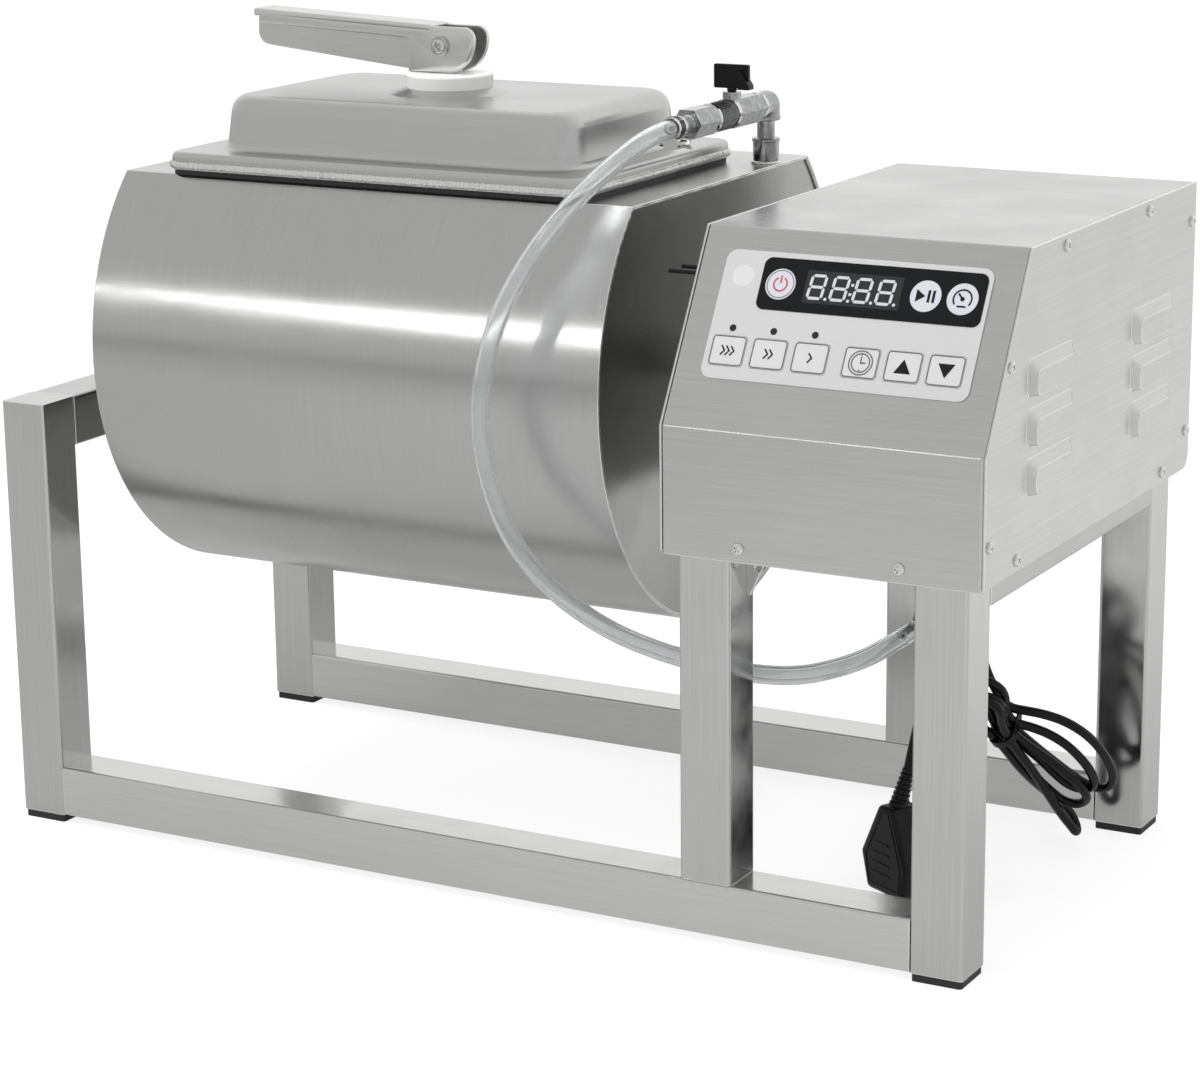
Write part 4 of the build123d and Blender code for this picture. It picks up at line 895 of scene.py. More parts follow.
@dataclass
class KeyPanel:
    """The printed key panel on the box's sloping face, with its window, keys and signs.

    Places are across the face from its lower left corner and up it. A layer is a pair of heights off it.
    """

    face: Place = Place((169.5, -204.9, 382.0), (1, 0, 0), (0, 0.5, math.sqrt(0.75)))
    middle: float = 122.0
    window_rise: float = 109.3
    square_rise: float = 58.0
    round_keys: tuple[tuple[str, float], ...] = (
        ("power_key", -54.7),
        ("start_key", 54.0),
        ("vacuum_key", 80.9),
    )
    square_keys: tuple[tuple[str, float], ...] = (
        ("fast_key", -82.8),
        ("medium_key", -51.5),
        ("slow_key", -20.0),
        ("timer_key", 17.9),
        ("up_key", 49.2),
        ("down_key", 80.2),
    )
    key_top: float = 1.5
    ink: float = 0.12
    line: float = 1.3
    key_length: float = 26.0
    key_width: float = 22.0
    # How much smaller than its key each edge of the printed border is, and that edge's corner.
    border: tuple[Point, ...] = ((0.5, 2.6), (2.1, 1.9))
    spot_radius: float = 8.0
    spot_shift: Point = (-84.5, 4.0)
    spot_layer: Point = (1.15, 1.24)
    block: Point = (72.0, 24.0)
    block_layer: Point = (1.44, 1.54)
    digit_layer: Point = (1.52, 1.6)
    digit_width: float = 10.5
    digit_height: float = 16.6
    digit_pitch: float = 17.1
    digit_shift: float = -1.2
    segment_gap: float = 0.35
    stroke: float = 2.1
    slant: float = 0.09
    dot: float = 1.15
    dot_gap: float = 2.6
    colon_shift: float = -1.0
    colon_rise: float = 3.4

    def centres(self) -> dict[str, Point]:
        """Return the middle of each key."""
        rows = ((self.round_keys, self.window_rise), (self.square_keys, self.square_rise))
        return {key: (self.middle + shift, rise) for keys, rise in rows for key, shift in keys}

    def sign(self, name: str, key: str, finish: Finish, shapes: Iterable[Any]) -> None:
        """Print a sign on a key.

        Args:
            name: The sign's name.
            key: The key that it rides on.
            finish: Its ink.
            shapes: Outlines, or pairs of an outer and an inner outline.
        """
        draft = Draft(name)
        low, high = self.key_top - self.ink, self.key_top + self.ink
        for shape in shapes:
            if isinstance(shape, tuple):
                draft.band(self.face, shape[0], shape[1], low, high)
            else:
                draft.prism(self.face, shape, low, high)
        draft.build(finish, key, "overlay_film")

    def bar(self, start: Point, end: Point, width: float, centre: Point) -> list[Point]:
        """Return the outline of a straight stroke between two points about a centre.

        Args:
            start: Where the stroke starts, from the centre.
            end: Where it ends.
            width: How wide it is.
            centre: The middle of the key.

        Returns:
            The outline on the panel's face.
        """
        along = Vector((end[0] - start[0], end[1] - start[1])).normalized() * width / 2
        side = Vector((-along.y, along.x))
        first, last = Vector(start), Vector(end)
        return moved([first - side, last - side, last + side, first + side], centre)

    def arc_band(
        self, radius: float, width: float, start: float, end: float, centre: Point
    ) -> list[Point]:
        """Return the outline of a stroke that follows an arc, from one angle in degrees to another.

        Args:
            radius: The arc's radius at the middle of the stroke.
            width: How wide the stroke is.
            start: Where the arc starts, in degrees.
            end: Where it ends.
            centre: The middle of the arc.

        Returns:
            The outline on the panel's face.
        """
        outer, inner = (arc(centre, radius + shift, start, end, 28) for shift in (width / 2, -width / 2))
        return outer + inner[::-1]

    def segment(self, start: Point, end: Point) -> list[Point]:
        """Return the pointed outline of one segment of a digit, leaned over as the digit is.

        Args:
            start: The segment's first end, from the digit's middle.
            end: Its other end.

        Returns:
            The outline about the digit's middle.
        """
        along = Vector((end[0] - start[0], end[1] - start[1])).normalized()
        side = Vector((-along.y, along.x)) * self.stroke / 2
        tip = along * self.stroke / 2
        first, last = Vector(start) + along * self.segment_gap, Vector(end) - along * self.segment_gap
        near = [first + tip + side, first, first + tip - side]
        far = [last - tip - side, last, last - tip + side]
        return [(p.x + self.slant * p.y, p.y) for p in near + far]

    def digits(self) -> None:
        """Set the four unlit digits with their points and colon behind the window's face."""
        block = rounded_rectangle(*self.block, 0.8, (self.middle, self.window_rise), 2)
        backing = Draft("digit_block").prism(self.face, block, *self.block_layer)
        backing.build(DIGIT_BLOCK, "frame", "smoked_window")
        draft = Draft("digit_segments")
        half_w, half_h = self.digit_width / 2, self.digit_height / 2
        ends = [((-half_w, y), (half_w, y)) for y in (half_h, 0, -half_h)]
        ends += [((x, y), (x, y + half_h)) for y in (0, -half_h) for x in (-half_w, half_w)]
        dots = []
        for digit in range(4):
            middle = self.middle + (digit - 1.5) * self.digit_pitch + self.digit_shift
            for start, end in ends:
                outline = moved(self.segment(start, end), (middle, self.window_rise))
                draft.prism(self.face, outline, *self.digit_layer)
            dots.append((middle + half_w + self.dot_gap, self.window_rise - half_h))
        for rise in (-self.colon_rise, self.colon_rise):
            across = self.middle + self.colon_shift + self.slant * rise
            dots.append((across, self.window_rise + rise))
        for centre in dots:
            draft.prism(self.face, circle(self.dot, 16, centre), *self.digit_layer)
        draft.build(DIGIT_OFF, "frame", "smoked_window")

    def round_signs(self) -> None:
        """Print the power, start and stop, and vacuum signs."""
        centres = self.centres()
        power, start, gauge = (centres[key] for key, _ in self.round_keys)
        ring = self.arc_band(5.0, self.line, 118, 422, power)
        stem = self.bar((0, 0.6), (0, 6.4), self.line, power)
        self.sign("power_sign", "power_key", INK_RED, [ring, stem])
        rim = (circle(10.3, 48, power), circle(9.7, 48, power))
        self.sign("power_rim", "power_key", INK_SOFT, [rim])
        play = moved([(-7.0, -4.6), (-0.2, 0.0), (-7.0, 4.6)], start)
        bars = [self.bar((x, -4.4), (x, 4.4), 1.9, start) for x in (2.4, 5.9)]
        self.sign("start_sign", "start_key", INK, [play, *bars])
        dial = self.arc_band(6.6, 1.2, -40, 220, gauge)
        needle = self.bar((0, 0), (-3.4, 3.9), self.line, gauge)
        hub = circle(1.6, 20, gauge)
        foot = self.bar((-3.2, -5.4), (3.2, -5.4), self.line, gauge)
        self.sign("vacuum_sign", "vacuum_key", INK, [dial, needle, hub, foot])

    def square_signs(self) -> None:
        """Print the outlines and signs of the six square keys."""
        centres = self.centres()
        for key, _ in self.square_keys:
            outer, inner = (
                rounded_rectangle(self.key_length - less, self.key_width - less, corner, centres[key])
                for less, corner in self.border
            )
            self.sign(key.replace("key", "outline"), key, INK_SOFT, [(outer, inner)])
        for key, count in (("fast_key", 3), ("medium_key", 2), ("slow_key", 1)):
            strokes = []
            for number in range(count):
                x = (number - (count - 1) / 2) * 3.6
                for rise, tip in ((3.5, -0.3), (-3.5, 0.3)):
                    strokes.append(self.bar((x - 1.5, rise), (x + 1.5, tip), 1.15, centres[key]))
            self.sign(key.replace("key", "sign"), key, INK, strokes)
        clock = centres["timer_key"]
        face = [(circle(r + 0.45, 48, clock), circle(r - 0.45, 48, clock)) for r in (8.6, 6.6)]
        hands = [self.bar((0, -0.5), (0, 4.4), 0.9, clock), self.bar((-0.4, 0), (3.6, 0), 1.1, clock)]
        marks = [self.bar((0, y), (0, y + 1.2), 0.8, clock) for y in (-6.0, 4.9)]
        self.sign("timer_sign", "timer_key", INK_SOFT, [*face, *hands, *marks])
        arrow = [(-6.2, -4.9), (6.2, -4.9), (0.0, 5.3)]
        self.sign("up_sign", "up_key", INK, [moved(arrow, centres["up_key"])])
        flipped = [(x, -y) for x, y in reversed(arrow)]
        self.sign("down_sign", "down_key", INK, [moved(flipped, centres["down_key"])])

    def build(self) -> None:
        """Dress the panel's parts and print it."""
        dress(FILM, "control_overlay")
        dress(WINDOW, "display_window")
        dress(LAMP, "indicator_lights")
        dress(KEY_DISC, *(key for key, _ in self.round_keys))
        dress(KEY_SQUARE, *(key for key, _ in self.square_keys))
        spot = moved(circle(self.spot_radius, 36, self.spot_shift), (self.middle, self.window_rise))
        Draft("bare_spot").prism(self.face, spot, *self.spot_layer).build(
            FILM_LIGHT, "frame", "overlay_film"
        )
        self.digits()
        self.round_signs()
        self.square_signs()


@dataclass
class Drum:
    """The tumbling drum, its ends, mouth, baffles and shafts."""

    radius: float = 198.0
    flat: float = 136.0
    axis: Point = (7.1, 385.0)
    left: float = -328.5
    right: float = 113.5
    bead: float = 1.3
    bead_depth: float = 1.6
    bead_from_end: float = 1.2
    ripple: float = 0.08
    ripple_size: float = 0.9

    def seam(self, x: float) -> list[Vector]:
        """Return the path of the weld that runs round one end of the drum.

        Args:
            x: Where the weld lies along the drum.

        Returns:
            The path in metres, from one edge of the flat round to the other and back across it.
        """
        radius = self.radius - self.bead_depth
        foot = math.acos((self.flat - self.bead_depth) / radius)
        steps, flat_steps = 260, 60
        angles = [foot + (TURN - 2 * foot) * step / steps for step in range(steps + 1)]
        points = [(radius * math.sin(a), radius * math.cos(a)) for a in angles]
        (end_y, end_z), (start_y, _) = points[-1], points[0]
        points += [(end_y + (start_y - end_y) * step / flat_steps, end_z) for step in range(1, flat_steps)]
        return [Vector((x, self.axis[0] + y, self.axis[1] + z)) * MM for y, z in points]

    def width(self, along: float) -> float:
        """Return the weld's radius at a length along it, with its ripples."""
        return self.bead * (1 + self.ripple * math.sin(along / self.ripple_size))

    def build(self) -> None:
        """Dress the drum and run its end welds."""
        dress(DRUM_SKIN, "drum_barrel")
        dress(DRUM_END, "left_end_disc", "right_end_disc", "mouth_frame", "drum_baffles")
        dress(TURNED, "left_stub_shaft", "drive_shaft")
        draft = Draft("end_welds")
        for x in (self.left + self.bead_from_end, self.right - self.bead_from_end):
            draft.sweep(self.seam(x), self.width, 8, closed=True)
        draft.build(WELD, "drum", "sheet_steel")


@dataclass
class Lid:
    """The pressed lid with its welded rim, seal, washer, spindle and lock bar."""

    middle: Point = (-107.5, -18.9)
    length: float = 363.0
    width: float = 244.0
    corner: float = 14.0
    bead_height: float = 528.4
    bead: float = 3.0
    bead_inset: float = 0.8
    bead_step: float = 0.9
    ripple: float = 0.07
    ripple_pitch: float = 2.6
    wobble: float = 0.1
    wobble_seed: int = 3
    wobble_count: int = 4000

    def rim(self) -> list[Vector]:
        """Return the path of the bead round the rim, a little inside the rim's wall.

        Returns:
            The path in metres.
        """
        inset = self.bead_inset
        length, width = self.length - 2 * inset, self.width - 2 * inset
        outline = rounded_rectangle(length, width, self.corner - inset, self.middle, 12)
        points: list[Point] = []
        for at, (x, y) in enumerate(outline):
            nx, ny = outline[(at + 1) % len(outline)]
            steps = max(1, round(math.hypot(nx - x, ny - y) / self.bead_step))
            shares = [step / steps for step in range(steps)]
            points += [(x + (nx - x) * share, y + (ny - y) * share) for share in shares]
        return [Vector((x, y, self.bead_height)) * MM for x, y in points]

    def build(self) -> None:
        """Dress the lid's parts and run the rippled bead round its rim."""
        dress(LID_SKIN, "lid_shell")
        dress(SEAL, "lid_seal")
        dress(NYLON, "nylon_washer")
        dress(TURNED, "lock_spindle", "lever_pin")
        dress(SHEET, "lock_bar")
        chance = random.Random(self.wobble_seed)
        wobbles = [chance.uniform(-self.wobble, self.wobble) for _ in range(self.wobble_count)]

        def width(along: float) -> float:
            """Return the bead's radius at a length along it, with its ripples.

            Args:
                along: The length in millimetres.

            Returns:
                The radius in millimetres.
            """
            ripple = self.ripple * math.sin(TURN * along / self.ripple_pitch)
            wobble = wobbles[int(along / self.bead_step) % self.wobble_count]
            return self.bead * (1 + ripple + wobble)

        bead = Draft("rim_bead").sweep(self.rim(), width, 10, closed=True)
        bead.build(WELD, "lid", "sheet_steel", sharp=60)


@dataclass
class CamLever:
    """The cam lever of pressed sheet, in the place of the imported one.

    Its outlines run along the lever, from the pin towards the nose, and up from the pin.
    """

    pin: tuple[float, float, float] = (-107.5, -18.9, 615.0)
    cam_radius: float = 20.7
    lift: float = 8.0
    crown: float = 14.1
    tail: float = 167.0
    tip: float = 10.0
    depth: float = 27.0
    drop: float = 32.5
    bend: float = 30.0
    tilt: float = 2.5
    half_width: float = 13.0
    cheek_inset: float = 1.3
    sheet: float = 1.8
    rounding: float = 3.0
    rounding_start: float = -16.0
    rounding_run: float = 10.0
    rib_rounding: float = 1.2
    rib_drop: float = 10.5
    rib_end: float = 27.0
    rib_corner: float = 5.0
    rib_straight: float = 20.0
    raised_end: float = 1.5
    flange: float = 8.4
    rim_depth: float = 1.4
    dish_depth: float = 1.6
    # The flange's thickness over the rib and at the nose.
    lip: Point = (0.35, 2.0)
    back_start: float = 8.0
    back_past_tail: float = 2.5
    back_past_cheek: float = 1.1
    back_rise: float = 0.9
    back_thickness: float = 4.4
    back_rounding: float = 2.1
    back_lip: float = 1.6
    cap: CrossScrew = CrossScrew(
        head=11.0, head_height=2.0, shank=7.0, length=1.0, slot_arm=3.4, slot_width=1.7
    )
    cap_reach: float = 2.6

    def cam(self, angle: float) -> Point:
        """Return the cam's edge at a lever angle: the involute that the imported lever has.

        Args:
            angle: How far the lever is lifted, in radians.

        Returns:
            The place where the cam then meets the washer, about the pin.
        """
        growth = self.lift / (math.pi / 2)
        reach = self.cam_radius + growth * angle
        return (
            reach * math.sin(angle) + growth * math.cos(angle),
            growth * math.sin(angle) - reach * math.cos(angle),
        )

    def top(self, x: float) -> float:
        """Return the height of the lever's back over the pin at a place along it."""
        return self.crown - x * math.tan(math.radians(self.tilt)) if x < 0 else self.crown

    def nose(self) -> list[Point]:
        """Return the round nose, from under the pin to the crown.

        Returns:
            The nose's points, about the pin.
        """
        points = [self.cam(math.pi / 2 * step / 16) for step in range(17)]
        end_x, end_z = points[-1]
        radius = self.crown - end_z
        return points + arc((end_x - radius, end_z), radius, 0, 90, 12)[1:]

    def cheek(self) -> list[Point]:
        """Return the whole side outline of a cheek, counter-clockwise from under the pin.

        Returns:
            The outline about the pin.
        """
        tail_top = self.top(-self.tail)
        tail_low = tail_top - self.depth
        slope = math.degrees(math.atan2(self.crown - self.drop - tail_low, self.tail - self.bend))
        points = self.nose() + [(0.0, self.crown), (-self.tail + 0.5, tail_top - 0.3)]
        points += arc((-self.tail + self.tip, tail_low + self.tip), self.tip, 180, 270 + slope)
        points += [(-self.bend, self.crown - self.drop), (-self.bend, -self.cam_radius)]
        return points

    def build_cheeks(self) -> None:
        """Build the two flat cheeks and the raised part of each, which the press left proud."""
        plates, raised = Draft("lever_cheeks"), Draft("lever_raised_sides")
        place = Place(self.pin)
        outer = self.half_width - self.cheek_inset
        inner = outer - self.sheet
        for side in (-1, 1):
            # Off the place is towards -Y, the front of the machine.
            low, high = sorted((-side * inner, -side * outer))
            plates.prism(place, self.cheek(), low, high)
            self.raise_side(raised, place, side)
        lever = plates.build(LEVER_SKIN, "lever", "sheet_steel", bevel=0.5)
        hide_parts("lever_handle")
        raised.build(LEVER_SKIN, "lever", "sheet_steel", sharp=40)

    def raised_outline(self) -> list[Point]:
        """Return the outline of the proud part of a cheek: the nose and the band over the rib.

        Returns:
            The outline about the pin.
        """
        tail = -self.tail + self.raised_end
        rib_x = -self.rib_end
        rib_z = self.top(rib_x) - self.rib_drop
        straight = rib_x - self.rib_corner - self.rib_straight
        outline = self.nose() + [(0.0, self.crown), (-14.0, self.top(-14.0))]
        outline += [(tail, self.top(tail)), (tail, self.top(tail) - self.rib_drop)]
        outline += [(straight, self.top(straight) - self.rib_drop)]
        centre = (rib_x - self.rib_corner, rib_z - self.rib_corner)
        outline += arc(centre, self.rib_corner, 90, 0, 6)
        outline += [(rib_x, -self.cam_radius + 3.0), (rib_x + 2.5, -self.cam_radius)]
        return outline

    def raise_side(self, draft: Draft, place: Place, side: int) -> None:
        """Add the proud part of one cheek: a dished nose with a flange, and the band over the rib.

        Args:
            draft: The mesh that takes it.
            place: The pin's middle.
            side: -1 for the front cheek and 1 for the rear one.
        """
        face = self.half_width
        outline = self.raised_outline()
        # How fully each point is rounded and flanged: all at the nose, and not at all along the rib.
        shares = [min(1.0, max(0.0, (x - self.rounding_start) / self.rounding_run)) for x, _ in outline]
        edges = [self.rib_rounding + (self.rounding - self.rib_rounding) * share for share in shares]
        flange = self.flange - face + self.rim_depth
        ends = [face - self.rim_depth + flange * share for share in shares]
        lip, nose_lip = self.lip
        hollow = inward(outline, [lip + (nose_lip - lip) * share for share in shares])
        plan = []
        for step in range(5):
            angle = math.pi / 2 * step / 4
            insets = [edge * (1 - math.sin(angle)) for edge in edges]
            plan.append((inward(outline, insets), [face - edge * (1 - math.cos(angle)) for edge in edges]))
        plan += [(outline, ends), (hollow, ends), (hollow, [face - self.dish_depth] * len(outline))]
        draft.loft([[place.at(x, y, -side * w) for (x, y), w in zip(ring, outs)] for ring, outs in plan])

    def build_back(self) -> None:
        """Build the rounded back that joins the cheeks, a little longer and wider than they are."""
        draft = Draft("lever_back")
        start, end = -self.back_start, -self.tail - self.back_past_tail
        width = 2 * (self.half_width + self.back_past_cheek)
        steps = 24
        rings = []
        for step in range(steps + 1):
            x = start + (end - start) * step / steps
            thickness = self.back_thickness + (self.back_lip if step == steps else 0.0)
            middle = (0.0, self.top(x) + self.back_rise - thickness / 2)
            section = rounded_rectangle(width, thickness, self.back_rounding, middle, 5)
            rings.append([(Vector(self.pin) + Vector((x, y, z))) * MM for y, z in section])
        draft.loft(rings)
        draft.build(LEVER_SKIN, "lever", "sheet_steel", bevel=0.8, sharp=50)

    def build_pin_caps(self) -> None:
        """Set a chromed cap with a cross recess on each end of the pin."""
        draft = Draft("pin_caps")
        reach = self.half_width + self.cap_reach
        x, y, z = self.pin
        self.cap.add(draft, Place((x, y - reach, z)), 0.6)
        self.cap.add(draft, Place((x, y + reach, z), (-1, 0, 0)), 0.3)
        draft.build(BRIGHT_PLATE, "lever", "bright_steel")

    def build(self) -> None:
        """Build the lever."""
        self.build_cheeks()
        self.build_back()
        self.build_pin_caps()


@dataclass
class Valve:
    """The ball valve on the drum's flat, with its socket, elbow, tail and clamp.

    A profile is a list of pairs of radius and height, from the foot of a turned part to its end.
    """

    x: float = 101.5
    y: float = 102.1
    z: float = 566.0
    flat: float = 521.0
    stem_y: float = 44.1
    blade_width: float = 29.0
    blade_low: float = 584.5
    blade_high: float = 602.5
    blade_thickness: float = 3.4
    wing_thickness: float = 8.8
    hub_foot: float = 582.3
    hub: tuple[Point, ...] = ((3.4, 0.0), (3.8, 0.6), (3.8, 2.0), (3.0, 2.6), (1.6, 3.4))
    stem_foot: float = 571.0
    stem: tuple[Point, ...] = ((3.0, 0.0), (3.0, 14.0))
    # Each collar: its place along the bore, its outer and inner radius, and how far it reaches each way.
    collars: tuple[tuple[float, float, float, float, float], ...] = (
        (83.6, 10.9, 9.6, -2.6, 2.0),
        (37.0, 11.3, 10.0, -3.0, 2.4),
    )
    nut_y: float = 33.0
    nut_radius: float = 10.8
    nut: tuple[Point, ...] = ((8.8, 0.0), (10.8, 0.8), (10.8, 25.6), (9.0, 26.4))
    knurls: int = 40
    knurl_radius: float = 0.45
    knurl_ends: Point = (31.4, 8.8)
    nut_face_y: float = 7.4
    nut_face: tuple[Point, ...] = (
        (10.6, 0.0),
        (11.4, 0.5),
        (11.4, 3.4),
        (10.4, 4.9),
        (9.2, 5.2),
        (9.0, 4.2),
    )
    lower_lip: tuple[Point, ...] = ((10.0, 16.2), (10.7, 16.8), (10.7, 18.9), (9.8, 19.5), (6.0, 19.6))
    upper_lip: tuple[Point, ...] = ((10.4, 33.0), (11.1, 33.6), (11.1, 36.4), (10.4, 37.0))
    weld_radius: float = 10.3
    weld_rise: float = 0.6
    weld_bead: float = 1.5
    clamp_y: float = -49.9
    clamp_screw: Point = (11.0, -11.3)
    clamp_screw_radius: float = 3.9
    clamp_screw_height: float = 4.2
    teeth: int = 26
    teeth_from: float = -40.0
    teeth_over: float = 260.0
    tooth: Point = (0.9, 6.4)
    tooth_layer: Point = (8.0, 8.35)

    def across(self, y: float) -> Place:
        """Return a place across the valve's bore, whose normal points to the front."""
        return Place((self.x, y, self.z))

    def level(self, y: float, z: float) -> Place:
        """Return a level place over the drum's flat, whose normal points up."""
        return Place((self.x, y, z), (1, 0, 0), (0, 1, 0))

    def build_handle(self) -> None:
        """Build the black butterfly handle, with a slanting wing at its right."""
        place = Place((self.x, self.stem_y, 0.0))
        draft = Draft("butterfly_handle")
        low, high = self.blade_low, self.blade_high
        blade = rounded_rectangle(self.blade_width, high - low, 1.2, (0.0, (low + high) / 2), 4)
        draft.prism(place, blade, -self.blade_thickness / 2, self.blade_thickness / 2)
        half = self.blade_width / 2
        wing = [(half - 8.0, low - 0.6), (half + 1.6, low - 0.6), (half + 1.6, low + 2.4)]
        wing.append((half - 6.0, high - 4.0))
        draft.prism(place, wing, -self.wing_thickness / 2, self.wing_thickness / 2)
        draft.lathe(self.level(self.stem_y, self.hub_foot), self.hub)
        draft.lathe(self.level(self.stem_y, self.stem_foot), self.stem, 24)
        handle = draft.build(ABS, "valve_stem", "black_plastic", bevel=0.5)
        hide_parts("valve_handle")

    def build_rings(self) -> None:
        """Set the bright collars, the knurled union nut with its face, and the fittings' lips."""
        collars = Draft("valve_collars")
        for y, outer, inner, low, high in self.collars:
            collars.band(self.across(y), circle(outer), circle(inner), low, high)
        collars.build(BRIGHT_PLATE, "drum", "valve_chrome")
        nut = Draft("union_nut").lathe(self.across(self.nut_y), self.nut)
        for across, rise in circle(self.nut_radius, self.knurls):
            ends = [Vector((self.x + across, y, self.z + rise)) * MM for y in self.knurl_ends]
            nut.sweep(ends, lambda s: self.knurl_radius, 6)
        nut.build(DARK_NICKEL, "drum", "valve_chrome")
        face = Draft("union_nut_face").lathe(self.across(self.nut_face_y), self.nut_face)
        face.build(BRIGHT_PLATE, "drum", "valve_chrome")
        lips = Draft("fitting_lips")
        for profile in (self.lower_lip, self.upper_lip):
            lips.lathe(self.level(self.y, self.flat), profile)
        lips.build(NICKEL, "drum", "valve_chrome", sharp=25)

    def build_weld(self) -> None:
        """Run the rippled weld round the socket's foot."""
        height = self.flat + self.weld_rise
        spots = circle(self.weld_radius, 90, (self.x, self.y))
        path = [Vector((x, y, height)) * MM for x, y in spots]
        weld = Draft("socket_weld")
        weld.sweep(path, lambda s: self.weld_bead * (1 + 0.08 * math.sin(s / 0.5)), 8, closed=True)
        weld.build(WELD, "drum", "sheet_steel", sharp=60)

    def build_clamp(self) -> None:
        """Add the worm screw's head and the slots of the clamp's band."""
        across, rise = self.clamp_screw
        head = Place((self.x + across, self.clamp_y, self.z + rise), (0, 1, 0))
        screw = Draft("clamp_screw")
        screw.prism(head, circle(self.clamp_screw_radius, 6), 0.0, self.clamp_screw_height)
        screw.build(BRIGHT_PLATE, "drum", "bright_steel", bevel=0.5)
        teeth = Draft("clamp_teeth")
        slot = rounded_rectangle(*self.tooth, 0.3, steps=2)
        near, far = self.tooth_layer
        for step in range(self.teeth):
            angle = math.radians(self.teeth_from + self.teeth_over * step / (self.teeth - 1))
            right = (-math.sin(angle), 0, math.cos(angle))
            place = Place((self.x, self.clamp_y, self.z), right, (0, 1, 0))
            teeth.prism(place, slot, -far, -near).prism(place, slot, near, far)
        teeth.build(ABS, "drum", "bright_steel")

    def build(self) -> None:
        """Dress the fittings and build the finer pieces."""
        dress(NICKEL, "valve_riser", "valve_body", "hose_tail")
        dress(BRIGHT_PLATE, "valve_ball", "hose_clamp")
        self.build_handle()
        self.build_rings()
        self.build_weld()
        self.build_clamp()


def smooth_line(name: str, points: Sequence[Sequence[float]]) -> bpy.types.Object:
    """Make a free line's curve: a NURBS spline with the route's points as its control points.

    Args:
        name: The curve's name.
        points: The route in millimetres.

    Returns:
        The curve's object, with no thickness yet.
    """
    curve = bpy.data.curves.new(name, "CURVE")
    curve.dimensions = "3D"
    curve.resolution_u = 8
    spline = curve.splines.new("NURBS")
    spline.points.add(len(points) - 1)
    for spot, point in zip(spline.points, points):
        spot.co = (*(Vector(point) * MM), 1.0)
    spline.order_u = 3
    spline.use_endpoint_u = True
    line = bpy.data.objects.new(name, curve)
    bpy.context.scene.collection.objects.link(line)
    return line


@dataclass
class VacuumHose:
    """The clear hose from the valve's tail, in front of the drum, to the pump's port under the box."""

    outer: float = 14.0
    inner: float = 10.0
    length: float = 779.0
    route: tuple[tuple[float, float, float], ...] = (
        (101.5, -29.9, 566.0),
        (101.5, -59.9, 566.0),
        (100.5, -90.9, 563.0),
        (96.5, -122.9, 553.0),
        (87.5, -154.9, 536.0),
        (78.5, -179.9, 517.0),
        (67.5, -202.9, 493.0),
        (52.5, -220.9, 457.0),
        (41.5, -226.9, 414.0),
        (37.5, -228.9, 377.0),
        (41.5, -224.9, 333.0),
        (52.5, -212.9, 288.0),
        (73.5, -192.9, 249.0),
        (100.5, -167.9, 219.0),
        (128.5, -147.9, 201.0),
        (169.5, -135.9, 190.0),
        (210.5, -131.9, 187.0),
        (241.5, -126.9, 189.0),
        (264.0, -113.4, 194.0),
        (279.5, -92.9, 199.0),
        (285.5, -70.9, 203.0),
        (287.5, -51.9, 204.0),
        (287.5, -32.9, 204.0),
    )
    turn_start: float = 300.0
    turn_end: float = 556.0

    def build(self) -> None:
        """Sweep the hose's wall along its spline."""
        line = smooth_line("hose_line", self.route)
        traced = bpy.data.meshes.new_from_object(line)
        path = [vertex.co.copy() for vertex in traced.vertices]
        bpy.data.objects.remove(line)
        bpy.data.meshes.remove(traced)
        draft = Draft("clear_hose").sweep(path, lambda s: self.outer / 2, 28, bore=self.inner / 2)
        hose = draft.shape(sharp=50)
        hose.data.materials.append(VINYL.material())
        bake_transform(hose)
        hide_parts("vacuum_hose")
        LOG.info("clear_hose follows frame and drum")


